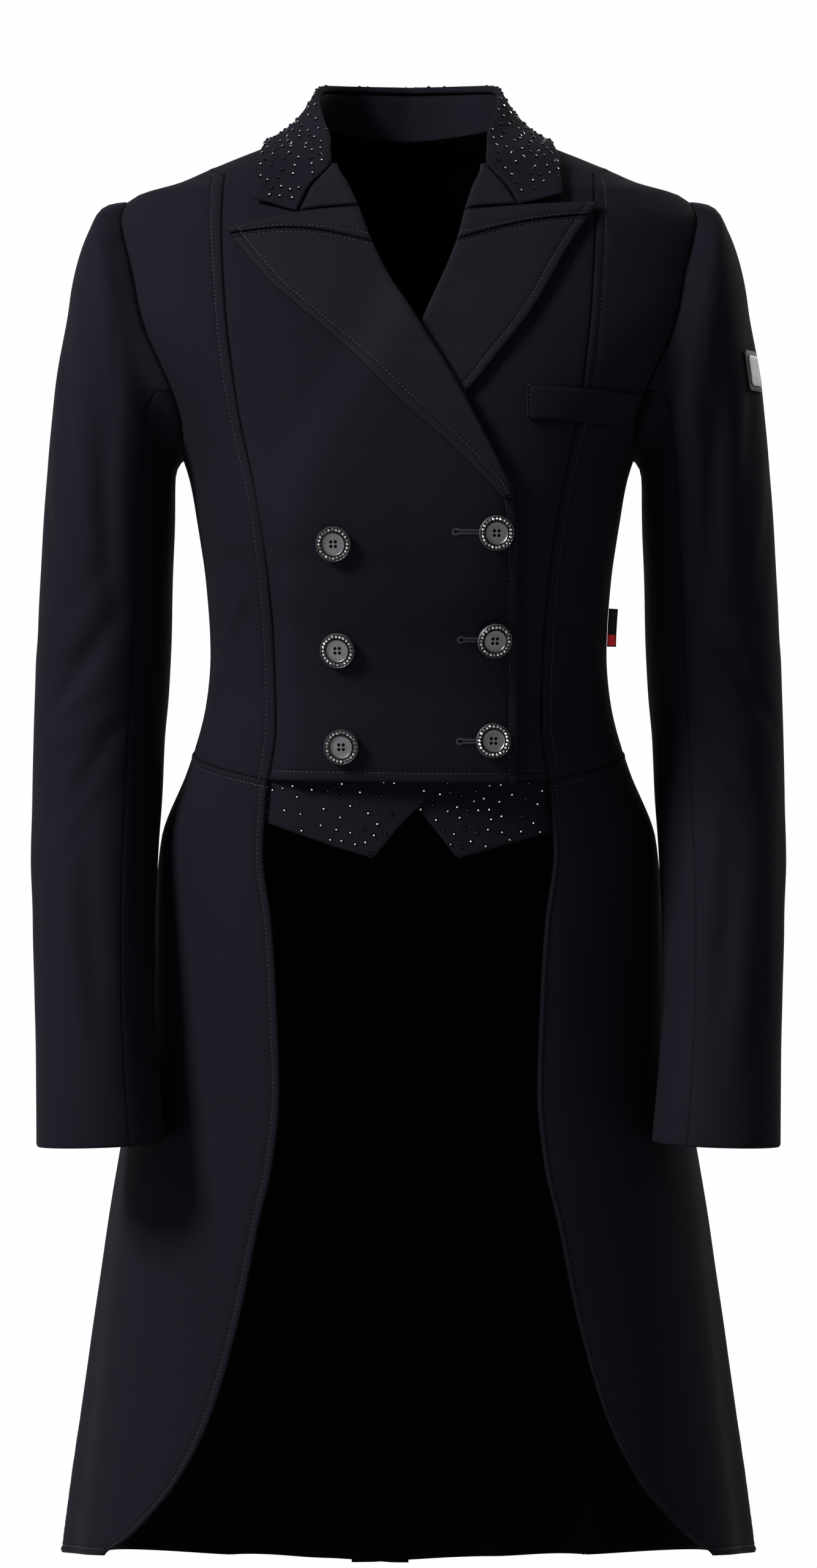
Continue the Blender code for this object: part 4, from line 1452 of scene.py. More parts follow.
    @staticmethod
    def lines(name: str, rows: Iterable[Row]) -> bpy.types.Mesh:
        """A mesh of lines whose points carry the cloth's direction outwards.

        Args:
            name: the mesh's name.
            rows: points and directions of each line.

        Returns:
            The mesh.
        """
        points, edges, normals = [], [], []
        for row, outs in rows:
            start = len(points)
            points += [p * MM for p in row]
            normals += outs
            edges += [(start + k, start + k + 1) for k in range(len(row) - 1)]
        mesh = bpy.data.meshes.new(name)
        mesh.from_pydata(points, edges, [])
        layer = mesh.attributes.new("outward", "FLOAT_VECTOR", "POINT")
        layer.data.foreach_set("vector", [c for n in normals for c in n])
        return mesh

    @staticmethod
    def face(name: str, grid: Grid) -> bpy.types.Mesh:
        """A mesh over a grid of points, facing outwards.

        Args:
            name: the mesh's name.
            grid: the points.

        Returns:
            The mesh.
        """
        work = bmesh.new()
        verts = [[work.verts.new(p * MM) for p in row] for row in grid]
        for upper, lower in zip(verts, verts[1:]):
            for corners in zip(upper, lower, lower[1:], upper[1:]):
                work.faces.new(corners)
        return meshed(name, work)


@dataclass
class Fronts:
    """The two fronts, cropped at the waist; the right one laps over the left.

    Attributes:
        hem: drop of the cropped edge.
        neck: how far above the origin the piece begins.
        edge_stitch: of the topstitching along the open edge and the hem.
        stitched: how far down the open edge its topstitching begins.
        creases: soft troughs, as (across, drop) on the front.
    """

    room: Workroom
    hem: float = 433.0
    neck: float = 15.0
    edge_stitch: float = 6.5
    stitched: dict[Side, float] = field(default_factory=lambda: {
        Side.RIGHT: 262, Side.LEFT: 300})
    creases: dict[Side, tuple[Crease, ...]] = field(default_factory=lambda: {
        Side.LEFT: creased(
            (100, 205, 52, 262, 9, 0.8), (92, 300, 60, 318, 8, 0.7), (95, 395, 62, 345, 8, 0.6)),
        Side.RIGHT: creased(
            (-104, 215, -62, 262, 9, 0.9), (-96, 292, -52, 276, 7, 0.7),
            (-94, 318, -50, 340, 8, 0.7), (-92, 388, -48, 404, 8, 0.7),
            (44, 272, -10, 318, 10, 0.7), (42, 340, -20, 356, 9, 0.6),
            (-38, 276, 20, 300, 9, 0.7), (40, 404, -24, 392, 9, 0.5)),
    })

    def build(self) -> None:
        """Both fronts, with topstitching along the hem and the edge below the lapel."""
        for side in Side:
            shell = self.shell(side)
            carried = (["side_front_right_cloth", "front_left_cloth"]
                       if side is Side.RIGHT else ["side_front_left_cloth"])
            self.room.cloth(f"front_{side.word}", shell, carried)
            row = shell.row(self.edge_stitch, from_bottom=True)
            column = shell.column(self.edge_stitch)
            self.room.sew(*shell.across(row, column))
            self.room.sew(*shell.down(column, shell.row(self.stitched[side]), row + 1))

    def place(self, side: Side, station: float, share: float) -> Place:
        """From the open edge to the princess seam, down to the hem.

        Args:
            side: which front, as it would lie on the left.
            station, share: how far down and across.

        Returns:
            Turn and drop.
        """
        drop = station - self.neck
        low = drop + (self.hem - CUT["front"]) * blend(400, CUT["front"], drop)
        first = FRONT_TURN[side].at("turn", min(low, self.hem))
        last = princess_turn(drop)
        room = trim(last, drop)
        return mix(first + room, last - room, share), mix(low, drop, share)

    def shell(self, side: Side) -> Shell:
        """One front, built on the wearer's left and mirrored for the right.

        Args:
            side: the wearer's side.

        Returns:
            Its shell.
        """
        edge = Edging(self.edge_stitch, True)
        return Panel(
            partial(self.place, side), CUT["front"] + self.neck, SEWN, edge, edge, SEWN,
            lift=partial(lapped, side), step=5.5, relief=lambda _turn, drop, p: (
                0.45 * ripple(p, 46.0, 3.0 + side.value) * blend(150, 240, drop)
                - dips(self.creases[side], p.x * side.value, drop))).shell().on(side)


@dataclass
class SideFronts:
    """The panels between the princess seams, the armholes and the side seams."""

    room: Workroom
    seam_stitch: float = 8.0
    drops: list[float] = field(default_factory=lambda: spans(
        (12, 40, 3), (40, 130, 5), (130, 250, 7), (250, CUT["front"], 8)))
    creases: tuple[Crease, ...] = creased(
        (112, 222, 90, 300, 9, 0.9), (102, 288, 128, 352, 3.5, -1.5),
        (98, 290, 122, 356, 4.5, 1.1), (128, 246, 104, 268, 7, 1.0), (128, 276, 98, 300, 8, 0.9),
        (122, 330, 94, 322, 7, 0.7), (126, 362, 96, 388, 8, 0.8), (134, 396, 100, 410, 8, 0.6))

    def place(self, station: float, share: float) -> Place:
        """From the princess seam to the shoulder, the armhole and the side seam.

        Args:
            station, share: how far down and across.

        Returns:
            Turn and drop.
        """
        low = along(self.drops, station)
        first = (min(princess_turn(low), 88.5), max(low, 12.4))
        if station < 3:
            last = (90.0, mix(13, 38, station / 3))
        elif station < 15:
            last = clocks(0, 180, (station - 3) / 12)
        else:
            last = side_seam((station - 15) / 8)
        return between(first, last, share)

    def build(self) -> None:
        """Both side fronts, with topstitching beside the princess seam."""
        left = Panel(
            self.place, len(self.drops) - 1.0, SEWN, PRESSED, Edging(self.seam_stitch),
            step=5.5, relief=lambda _turn, drop, p: (
                0.4 * ripple(p, 40.0, 11.0) * blend(150, 240, drop)
                - dips(self.creases, p.x, drop))).shell()
        for side in Side:
            shell = left.on(side)
            self.room.cloth(f"side_front_{side.word}", shell, [
                f"skirt_{side.word}_cloth", f"top_sleeve_{side.word}_cloth"])
            self.room.sew(*shell.down(shell.column(self.seam_stitch), 6, -1))


@dataclass
class SideBacks:
    """The panels between the side seams and the side-back seams."""

    room: Workroom

    @staticmethod
    def place(station: float, share: float) -> Place:
        """From the armhole and the side seam to the side-back seam.

        Args:
            station, share: how far down and across.

        Returns:
            Turn and drop.
        """
        if station < 6:
            first = armhole(-93) if station < 0.2 else clocks(-90, -180, station / 6)
        else:
            first = side_seam((station - 6) / 8)
        last = side_back_seam(along(SIDE_BACK_DROPS, station))
        if station < 1:
            corner, after = armhole(-90), side_back_seam(SIDE_BACK_DROPS[1])
            start = [mix(a, b, 0.2) for a, b in zip(corner, after)]
            last = tuple(mix(a, b, station) for a, b in zip(start, after))
        return between(first, last, share)

    def build(self) -> None:
        """Both side backs."""
        left = Panel(self.place, len(SIDE_BACK_DROPS) - 1.0, relief=lambda _turn, drop, p: (
            0.5 * ripple(p, 38.0, 21.0) * blend(220, 280, drop))).shell()
        for side in Side:
            self.room.cloth(f"side_back_{side.word}", left.on(side), [
                f"side_front_{side.word}_cloth", f"back_{side.word}_cloth"])


@dataclass
class Backs:
    """The two backs, joined at the centre down to the vent, with long tails."""

    room: Workroom
    edge_stitch: float = 5.0
    seam_stitch: float = 5.0
    vent_top: float = 412.0
    vent_lap: float = 40.0
    drops: list[float] = field(default_factory=lambda: (
        spans((-12, 38, 4), (38, 126, 6)) + SIDE_BACK_DROPS[1:]
        + spans((412, HEM.at("drop", 136), 11))))

    def build(self) -> None:
        """Both backs with their topstitching; the left one laps over at the vent."""
        for side in Side:
            shell = self.shell(side)
            self.room.cloth(f"back_{side.word}", shell, [
                f"side_back_{side.word}_cloth", f"front_{side.word}_cloth"])
            row = shell.row(self.edge_stitch, from_bottom=True)
            column = shell.column(self.edge_stitch, from_last=True)
            self.room.sew(*shell.down(column, shell.row(440), row + 1))
            self.room.sew(*shell.across(row, 0, column + 1))
            self.room.sew(*shell.down(shell.column(self.seam_stitch), shell.row(150), -1))

    def place(self, side: Side, station: float, share: float) -> Place:
        """From the shoulder, the armhole and the side-back seam to the centre back.

        Args:
            side: which back, as it would lie on the left.
            station, share: how far down and across.

        Returns:
            Turn and drop.
        """
        if station < 4:
            first = (90.0, mix(-19.5, 38, station / 4))
        elif station < 10:
            first = clocks(0, -90, (station - 4) / 6)
        else:
            first = side_back_seam(along(self.drops, station))
        drop = along(self.drops[:-1] + [HEM.at("drop", 180)], station)
        last = 180.0 - trim(180, drop)
        if side is Side.LEFT:
            lap = self.vent_lap * blend(self.vent_top - 22, self.vent_top + 1, drop)
            last += math.degrees(lap / FORM.reach(180, drop))
        return (mix(first[0] + trim(*first), last, share),
                mix(first[1], drop, min(share * 1.1, 1.0)))

    def shell(self, side: Side) -> Shell:
        """One back, built on the wearer's left and mirrored for the right.

        Args:
            side: the wearer's side.

        Returns:
            Its shell.
        """
        edge = Edging(self.edge_stitch, True)
        return Panel(
            partial(self.place, side), len(self.drops) - 1.0, SEWN, edge,
            Edging(self.seam_stitch), edge, step=7.0,
            lift=lambda turn, drop: vent_lift(turn, drop) if side is Side.LEFT else 0.0,
            relief=lambda turn, drop, p: (
                0.6 * ripple(p, 60.0, 31.0) * blend(120, 260, drop)
                * blend(0, 30, abs(turn - 180) * 1.6))).shell().on(side)


@dataclass
class Skirts:
    """The side panels of the tails, with soft flutes, below the waist seam."""

    room: Workroom
    edge_stitch: float = 5.0
    folds: tuple[Crease, ...] = creased(
        (86, 470, 100, 930, 17, 1.6), (104, 440, 118, 900, 15, -1.1),
        (118, 450, 128, 930, 14, 1.2), (92, 425, 112, 520, 9, 0.8), (108, 422, 96, 540, 9, 0.7))

    @staticmethod
    def place(station: float, share: float) -> Place:
        """Each column runs from the waist seam to the hem.

        Args:
            station, share: how far down and across.

        Returns:
            Turn and drop.
        """
        front = TAIL_TURN.at("turn", WAIST["front"])
        back = SIDE_BACK_SEAM.at("turn", WAIST["back"])
        top = waist_drop(mix(front, back, share)) + SEAM
        hem = mix(HEM.at("drop", 60), HEM.at("drop", 136), share)
        drop = mix(top, hem, station)
        seam = SIDE_BACK_SEAM.at("turn", drop)
        return mix(TAIL_TURN.at("turn", drop), seam - 2 * trim(seam, drop), share), drop

    def build(self) -> None:
        """Both skirts, with topstitching round the free edge and under the waist."""
        edge = Edging(self.edge_stitch, True)
        left = Panel(
            self.place, 1.0, Edging(self.edge_stitch, deep=PRESSED.deep), edge, edge,
            relief=lambda turn, drop, p: (0.7 * ripple(p, 75.0, 41.0)
                                          - dips(self.folds, turn, drop, 2.6))).shell()
        for side in Side:
            shell = left.on(side)
            self.room.cloth(f"skirt_{side.word}", shell, [
                f"side_front_{side.word}_cloth", f"back_{side.word}_cloth"], held="hung")
            bottom = shell.row(self.edge_stitch, from_bottom=True)
            top = shell.row(self.edge_stitch)
            column = shell.column(self.edge_stitch)
            self.room.sew(*shell.across(top, 1, -1))
            self.room.sew(*shell.across(bottom, column, -1))
            self.room.sew(*shell.down(column, top, bottom + 1))


@dataclass
class Sleeves:
    """The two-piece sleeves, eased over the shoulder and bent at the elbow.

    Attributes:
        under: where the under sleeve lies, in degrees round the arm.
        seam_gap: room between the sleeve and the armhole, which just overlap.
        swell: how much it widens in front and behind past that seam.
        last: station of the cuff's edge.
        station_mm: about how long a station is.
        folds: further creases, as (degrees round, station).
    """

    room: Workroom
    under: Place = (120.0, 240.0)
    seam_gap: float = -0.3
    swell: float = 6.0
    last: float = 15.0
    station_mm: float = 46.0
    folds: tuple[Crease, ...] = creased(
        (84, 1.6, 92, 6.0, 8, 1.6), (30, 3.4, 74, 5.4, 7, 1.3), (6, 4.6, 60, 6.2, 8, 1.1),
        (102, 5.2, 40, 6.6, 6, 1.2), (112, 6.2, 20, 7.3, 6, 1.6), (116, 7.0, 44, 8.0, 6, 1.2),
        (106, 7.9, 34, 8.6, 6, 1.0), (112, 8.6, 58, 10.2, 7, 1.1), (76, 9.4, 96, 13.6, 9, 1.4),
        (50, 10.4, 64, 14.2, 9, 0.9), (20, 8.0, 34, 12.0, 10, 0.8), (-60, 5.4, 20, 6.8, 9, 1.2),
        (-100, 6.4, -30, 7.6, 9, 1.4), (-110, 8.0, -40, 9.0, 9, 1.1),
        (150, 6.0, 150, 12.0, 12, 1.0), (210, 5.0, 205, 12.0, 12, 1.0))

    @staticmethod
    def seam(round_it: float) -> Place:
        """Where on the armhole that line along the sleeve begins."""
        return armhole(round_it if round_it <= 180 else round_it - 360)

    def point(self, round_it: float, station: float) -> Vector:
        """The place on the sleeve.

        Args:
            round_it: degrees: 0 is outermost, 90 in front, 180 innermost.
            station: how far down, from 0 at the armhole.

        Returns:
            The point in millimetres.
        """
        at = {name: SLEEVE.at(name, station) for name in SLEEVE.names}
        top = Vector((at["out"], 0, -at["out_drop"]))
        low = Vector((at["inner"], 0, -at["inner_drop"]))
        share = blend(0, 3, station)
        angle = math.radians(round_it)
        depth = at["deep"] * math.copysign(abs(math.sin(angle)) ** 0.92, math.sin(angle))
        arm = (top + low) / 2 + (top - low) / 2 * math.cos(angle)
        arm += Vector((0, at["middle"] - depth, 0))
        if share < 1:
            arm = FORM.point(*self.seam(round_it)).lerp(arm, share)
            inwards = SCYE_CENTRE - arm
            inwards.x = 0
            swell = self.swell * station * math.sin(angle) ** 2
            arm += (inwards.normalized() * self.seam_gap
                    + Vector((self.seam_gap + swell, 0, 0))) * (1 - share)
        centre = (top + low) / 2 + Vector((0, at["middle"], 0))
        return arm + (centre - arm).normalized() * self.pull(round_it, station)

    @staticmethod
    def pull(round_it: float, station: float) -> float:
        """Depth of the main creases, which the solid has too.

        Args:
            round_it, station: the place on the sleeve.

        Returns:
            The depth in millimetres.
        """
        total = 0.0
        for start, end, from_round, to_round, wide, deep in zip(
                *(SLEEVE_CREASES.values[n] for n in SLEEVE_CREASES.names)):
            share = (station - start) / (end - start)
            if 0 < share < 1:
                line = mix(from_round, to_round, share)
                total += (deep * math.sin(math.pi * share)
                          * math.exp(-((round_it - line) / wide) ** 2))
        return total

    def outward(self, round_it: float, station: float) -> Vector:
        """Out of the sleeve; at the armhole it turns to the coat's own side.

        Args:
            round_it, station: the place on the sleeve.

        Returns:
            The direction.
        """
        normal = facing(self.point, round_it, station, (1.5, 0.04), (BOUNDLESS, (0, self.last)))
        share = blend(0.0, 0.5, station)
        return normal if share == 1 else FORM.outward(*self.seam(round_it)).lerp(
            normal, share).normalized()

    def relief(self, round_it: float, station: float, point: Vector) -> float:
        """Fine folds, the eased head of the sleeve and soft unevenness.

        Args:
            round_it, station: the place on the sleeve.
            point: the same place.

        Returns:
            The height in millimetres.
        """
        turned = round_it - 360 if round_it > 240 else round_it
        head = math.exp(-((station - 0.7) / 0.6) ** 2) * 0.5
        easing = head * math.cos(math.radians(round_it) * 17) * blend(-30, 40, 90 - abs(turned))
        return (0.7 * ripple(point, 52.0, 51.0) * blend(0.5, 3, station) + easing
                - dips(self.folds, turned, station, 1.0, self.station_mm))

    def build(self) -> None:
        """Both sleeves, each of a top and an under piece."""
        low, high = self.under
        for name, start, end in (("top_sleeve", high - 360, low), ("under_sleeve", low, high)):
            left = Panel(
                lambda s, share, a=start + 0.02, b=end - 0.02: (mix(a, b, share), s),
                self.last, SEWN, FREE, PRESSED, PRESSED, point=self.point,
                outward=self.outward, relief=self.relief, step=5.5).shell()
            for side in Side:
                self.room.cloth(f"{name}_{side.word}", left.on(side), [
                    f"side_front_{side.word}_cloth", f"side_back_{side.word}_cloth"])

    def place_at(self, round_it: float, drop: float) -> Place:
        """The place on the sleeve, as degrees round and station, at a height."""
        return round_it, halved(self.last, 26, lambda s: -self.point(round_it, s).z < drop)


@dataclass
class Collar:
    """The crystal-covered fall, rolled over at its fold, and the stand inside it.

    Attributes:
        starts: station of each front end.
        middle: station of the centre back.
        gorge: station at which the collar begins to stand up.
        lip: how far the roll reaches down inside.
        fall_steps: points across the fall.
        stand_start: station at which the stand begins.
        stand_off: how much the outer edge lifts at the front ends.
        tuck: how far the stand's foot reaches below and inside the neckline.
        crystal: width of a crystal.
        apart: least distance between crystals.
        lines: points across the collar, from its right end to its left one.
    """

    room: Workroom
    starts: dict[Side, float] = field(default_factory=lambda: {
        Side.RIGHT: 0.0, Side.LEFT: 0.24})
    middle: float = 9.0
    gorge: float = 2.0
    lip: float = 5.0
    fall_steps: int = 7
    stand_start: float = 4.8
    stand_off: float = 2.4
    tuck: float = 2.4
    crystal: float = 3.0
    apart: float = 5.9
    lines: Grid = field(init=False)

    def __post_init__(self) -> None:
        """Works out the collar's lines once."""
        right = [self.line(s) for s in spans((self.starts[Side.RIGHT], self.middle, 30))]
        left = [self.line(s) for s in spans((self.middle, self.starts[Side.LEFT], 30))]
        self.lines = mirrored(right) + left[1:]

    @staticmethod
    def raised(point: Vector) -> Vector:
        """The point, moved off the form where it would be too near for a layer.

        Args:
            point: in millimetres.

        Returns:
            The moved point.
        """
        drop = -point.z
        if drop < -21:
            return point
        turn = math.degrees(math.atan2(point.x, BODY.at("middle", drop) - point.y))
        normal = FORM.outward(turn, drop)
        short = CLEAR - (point - FORM.point(turn, drop)).dot(normal)
        return point + normal * max(short, 0.0)

    def line(self, station: float) -> list[Vector]:
        """Points across the collar, from inside the neck over the fold to its edge.

        Args:
            station: from a front end to the centre back.

        Returns:
            The points.
        """
        at = {name: COLLAR.at(name, station) for name in COLLAR.names}
        fold = Vector((at["fold_x"], at["fold_y"], at["fold_z"]))
        turn, drop = at["edge_turn"], at["edge_drop"]
        edge = FORM.point(turn, drop) + FORM.outward(turn, drop) * CLEAR
        away = (edge - fold).normalized()
        level = Vector((away.x, away.y, 0)).normalized()
        rolled = blend(self.gorge, self.gorge + 1.5, station)
        points = []
        for k, (out, up) in enumerate(((-2.4, -self.lip), (-2.2, -1.6), (0, 0), (2.2, -1.6))):
            standing = fold + level * out + Vector((0, 0, up))
            points.append(self.raised(fold + away * (k * 1.2)).lerp(standing, rolled))
        start = points[-1]
        for share in (k / self.fall_steps for k in range(1, self.fall_steps + 1)):
            bow = -3.0 * rolled * math.sin(math.pi * share)
            points.append(self.raised(
                start.lerp(edge, share) + (Vector((0, 0, 1)) + level).normalized() * bow))
        return points

    def point(self, station: float, across: float) -> Vector:
        """The place on the collar.

        Args:
            station: from the right end to the left end.
            across: from inside the neck to the edge.

        Returns:
            The point in millimetres.
        """
        i = int(clamp(station, 0, len(self.lines) - 2))
        rows = [smooth_at(line, across) for line in self.lines[max(i - 1, 0):i + 3]]
        return smooth_at(rows, station - i + (1 if i else 0))

    def build(self) -> None:
        """The fall with its crystals, then the stand."""
        top, end = len(self.lines) - 1, len(self.lines[0]) - 1
        fall = Panel(
            lambda s, share: (s, share * end), top, FREE, FREE, FREE, FREE,
            point=self.point, outward=lambda a, b: facing(
                self.point, a, b, (0.3, 0.12), ((0, top), (0, end))), relief=lambda a, b, p: (
                self.stand_off * (0.35 + 0.65 * (1 - blend(4, 16, min(a, top - a))))
                * blend(0.35 * end, end, b) + 0.3 * ripple(p, 30.0, 61.0)),
            thickness=LAID, step=3.6).shell()
        self.room.cloth("collar", fall, ["front_left_cloth", "front_right_cloth",
                                         "back_left_cloth", "back_right_cloth"], held="folded")
        low, high = fall.column(6.5), fall.column(3.0, from_last=True)
        grid = [[p + n * 0.05 for p, n in zip(*fall.across(i, low, high + 1))]
                for i in range(4, len(fall.outer) - 4)]
        Sewing.crystals("collar_crystals", grid, self.crystal, self.apart, 5)
        self.stand()

    def upright(self, side: Side, station: float) -> list[Vector]:
        """Points up the stand, from its foot to its top.

        Args:
            side: the wearer's side.
            station: of the collar.

        Returns:
            Four points.
        """
        top = self.line(station)[0] - Vector((0, 0, REST))
        turn = math.degrees(math.atan2(abs(top.x), BODY.at("middle", -18) - top.y))
        turn = max(turn, 60)
        drop = NECK_DROP.at("drop", turn) + self.tuck + 4.6 * (1 - blend(86, 98, turn))
        foot = FORM.point(turn, drop) - FORM.outward(turn, drop) * self.tuck
        return [Vector((side.value * p.x, p.y, p.z))
                for p in (foot.lerp(top, k / 3) for k in range(4))]

    def stand(self) -> None:
        """The band that stands inside the neck."""
        stations = spans((self.stand_start, self.middle, 16))
        rows = ([self.upright(Side.RIGHT, s) for s in stations]
                + [self.upright(Side.LEFT, s) for s in stations[-2::-1]])
        end = len(rows) - 1.0
        point = partial(self._between, rows)
        shell = Panel(lambda s, share: (s, share * 3), end, point=point,
                      outward=lambda a, b: facing(point, a, b, (0.5, 0.3), ((0, end), (0, 3))),
                      thickness=LAID, step=5.0).shell()
        self.room.cloth("collar_stand", shell, ["back_left_cloth", "back_right_cloth",
                                                "collar_cloth"], held="folded")

    @staticmethod
    def _between(rows: Grid, a: float, b: float) -> Vector:
        """The place on the stand, which runs straight from row to row.

        Args:
            rows: its rows.
            a, b: how far along them and how far up.

        Returns:
            The point.
        """
        low = int(clamp(a, 0, len(rows) - 2))
        return smooth_at(rows[low], b).lerp(smooth_at(rows[low + 1], b), a - low)


@dataclass
class Lapels:
    """The lapels, each in three pieces across, rolled over the front's edge.

    Attributes:
        edge_stitch: of the topstitching along the outer edge.
        seam_stitch: of the two rows beside the lower seam across.
        fold: radius of the roll.
        stand_off: how much more the outer edge lifts.
        top: drop at which the roll begins.
        bottom: drop at which the lapel runs out.
        seam_gap: half the room at the band's lower seam.
    """

    room: Workroom
    edge_stitch: float = 7.5
    seam_stitch: float = 3.0
    fold: float = 2.6
    stand_off: float = 1.8
    top: float = 17.5
    bottom: float = 243.0
    seam_gap: float = 0.25

    @staticmethod
    def row(side: Side, drop: float, outer: Place, bow: float) -> LapelRow:
        """A row that starts on the roll."""
        return (EDGE[side].at("across", drop), drop), outer, bow

    @staticmethod
    def outer(side: Side, run: float) -> Place:
        """A place on the outer edge."""
        return LAPEL_EDGE[side].at("across", run), LAPEL_EDGE[side].at("drop", run)

    def rows(self, side: Side) -> dict[str, list[LapelRow]]:
        """Rows of each piece of a lapel.

        Args:
            side: the wearer's side.

        Returns:
            For each piece its rows, from the roll to the outer edge.
        """
        drops, runs, bows = (LAPEL_SEAMS[side].values[n] for n in ("roll_drop", "run", "bow"))
        row, outer = partial(self.row, side), partial(self.outer, side)

        end = GORGE.values["across"][-1]
        roll_end = EDGE[side].at("across", drops[0])
        share = (end - roll_end) / (outer(0)[0] - roll_end)
        end_drop = (mix(drops[0], outer(0)[1], share) - bows[0] * math.sin(math.pi * share) - 0.7)
        top = [row(self.top, (GORGE.at("across", 18), 18), 0),
               row(mix(self.top, drops[0], 0.5), (GORGE.at("across", 35), 35), 0),
               row(drops[0] - 0.7, (end, end_drop), 0.8)]

        seams = [row(drops[k] + below, (outer(runs[k])[0], outer(runs[k])[1] + below), bows[k])
                 for k, below in ((0, 0.0), (1, -self.seam_gap), (1, self.seam_gap))]
        middle = row(mix(*drops, 0.5), outer(runs[1] / 2), (bows[0] + bows[1]) / 2)

        shares = [k / 12 for k in range(1, 13)]
        main = [row(mix(drops[1], self.bottom, t), outer(mix(runs[1], 6, t)),
                    bows[1] * (1 - blend(0, 0.3, t))) for t in shares]
        return {"lapel_top": top, "lapel_band": [seams[0], middle, seams[1]],
                "lapel": [seams[2], *main]}

    @staticmethod
    def place(rows: list[LapelRow], station: float, share: float) -> Place:
        """The place on one piece of a lapel.

        Args:
            rows: the piece's rows.
            station, share: how far down and across.

        Returns:
            Turn and drop.
        """
        low = min(int(station), len(rows) - 2)
        t = station - low
        (roll, outer, bow), (next_roll, next_outer, next_bow) = rows[low:low + 2]
        a0, d0 = (mix(x, y, t) for x, y in zip(roll, next_roll))
        a1, d1 = (mix(x, y, t) for x, y in zip(outer, next_outer))
        drop = mix(d0, d1, share) - mix(bow, next_bow, t) * math.sin(math.pi * share)
        return FORM.turn_at(mix(a0, a1, share), drop), drop

    def lift(self, side: Side, turn: float, drop: float) -> float:
        """How far a lapel lies outside the form.

        Args:
            side: the wearer's side.
            turn, drop: the place, as it would lie on the left.

        Returns:
            The lift in millimetres.
        """
        away = blend(4, 34, turn - FRONT_TURN[side].at("turn", drop))
        return (REST + LAID + lapped(side, turn, drop)
                + self.stand_off * away * blend(250, 190, drop))

    def build(self) -> None:
        """Both lapels with their topstitching."""
        edge, seam = Edging(self.edge_stitch, True), Edging(self.seam_stitch)
        edgings = {"lapel_top": (SEWN, SEWN, SEWN, SEWN),
                   "lapel_band": (SEWN, seam, SEWN, edge), "lapel": (seam, FREE, SEWN, edge)}
        for side in Side:
            for name, rows in self.rows(side).items():
                shell = Panel(partial(self.place, rows), len(rows) - 1.0, *edgings[name],
                              lift=partial(self.lift, side),
                              relief=lambda _a, _b, p: 0.25 * ripple(p, 34.0, 71.0),
                              thickness=LAID, step=4.6, roll=self.fold).shell().on(side)
                self.room.cloth(f"{name}_{side.word}", shell,
                                [f"front_{side.word}_cloth"], held="folded", finish=BAND)
                if name == "lapel_top":
                    continue
                column = shell.column(self.edge_stitch, from_last=True)
                self.room.sew(*shell.down(column))
                line = shell.row(self.seam_stitch, from_bottom=name == "lapel_band")
                self.room.sew(*shell.across(line, 6, column))


@dataclass
class VestPoints:
    """The false waistcoat points that hang behind the fronts, set with crystals.

    Attributes:
        top: drop at which both are sewn in behind the fronts.
        outlines: the lower outline of each, as (across, drop).
        layers: how many layers lie between each and the fronts.
        crystal: width of a crystal.
        apart: least distance between crystals.
    """

    room: Workroom
    top: float = 404.0
    outlines: dict[Side, tuple[Place, ...]] = field(default_factory=lambda: {
        Side.RIGHT: ((-118, 453), (-91, 461), (-56, 473), (-23.5, 483), (-8, 464),
                     (17.5, 438), (40, 413)),
        Side.LEFT: ((-22, 414), (7.5, 451), (33.5, 483), (66, 474), (99, 465), (118, 459))})
    layers: dict[Side, int] = field(default_factory=lambda: {Side.RIGHT: 0, Side.LEFT: 1})
    crystal: float = 3.0
    apart: float = 6.7

    def place(self, side: Side, station: float, share: float) -> Place:
        """From the seam behind the front down to the outline.

        Args:
            side: the wearer's side.
            station, share: how far down and across.

        Returns:
            Turn and drop.
        """
        acrosses, bottoms = zip(*self.outlines[side])
        at = share * (len(bottoms) - 1)
        drop = mix(self.top, along(bottoms, at), station)
        return FORM.turn_at(along(acrosses, at), drop), drop

    def build(self) -> None:
        """Both points and their crystals."""
        for side in Side:
            depth = -(WALL + REST) - self.layers[side] * (LAID + REST)
            shell = Panel(partial(self.place, side), 1.0, SEWN, FREE, FREE, FREE,
                          lift=lambda _a, _b, depth=depth: depth, thickness=LAID, step=3.8).shell()
            self.room.cloth(f"vest_point_{side.word}", shell,
                            ["front_left_cloth", "front_right_cloth"], held="hung")
            Sewing.crystals(f"vest_crystals_{side.word}", [row[5:-5] for row in shell.outer[4:-3]],
                            self.crystal, self.apart, 12)


@dataclass
class Welt:
    """The chest pocket's welt, laid over the left princess seam."""

    room: Workroom
    left: float = 77.0
    top: float = 170.0
    bottom: float = 193.0
    slope: float = 0.04
    wide: float = 70.0
    inset: float = 2.5
    rest: float = 0.7
    edge_stitch: float = 2.2

    def place(self, station: float, share: float) -> Place:
        """From the free end to the armhole.

        Args:
            station, share: how far down and across.

        Returns:
            Turn and drop.
        """
        end_turn, _ = armhole(mix(121.0, 141.0, station))
        drop = mix(self.top, self.bottom, station) + self.slope * self.wide * share
        return mix(FORM.turn_at(self.left, drop), end_turn - self.inset, share), drop

    def build(self) -> None:
        """The welt and the stitches that hold its free end."""
        shell = Panel(self.place, 1.0, FREE, FREE, Edging(self.edge_stitch, True),
                      lift=lambda _a, _b: self.rest + LAID, thickness=LAID,
                      relief=lambda _a, _b, p: 0.25 * ripple(p, 26.0, 81.0), step=4.0).shell()
        self.room.cloth("pocket_welt", shell, ["front_left_cloth", "side_front_left_cloth"],
                        held="laid")
        self.room.sew(*shell.down(shell.column(self.edge_stitch), 1, -1))


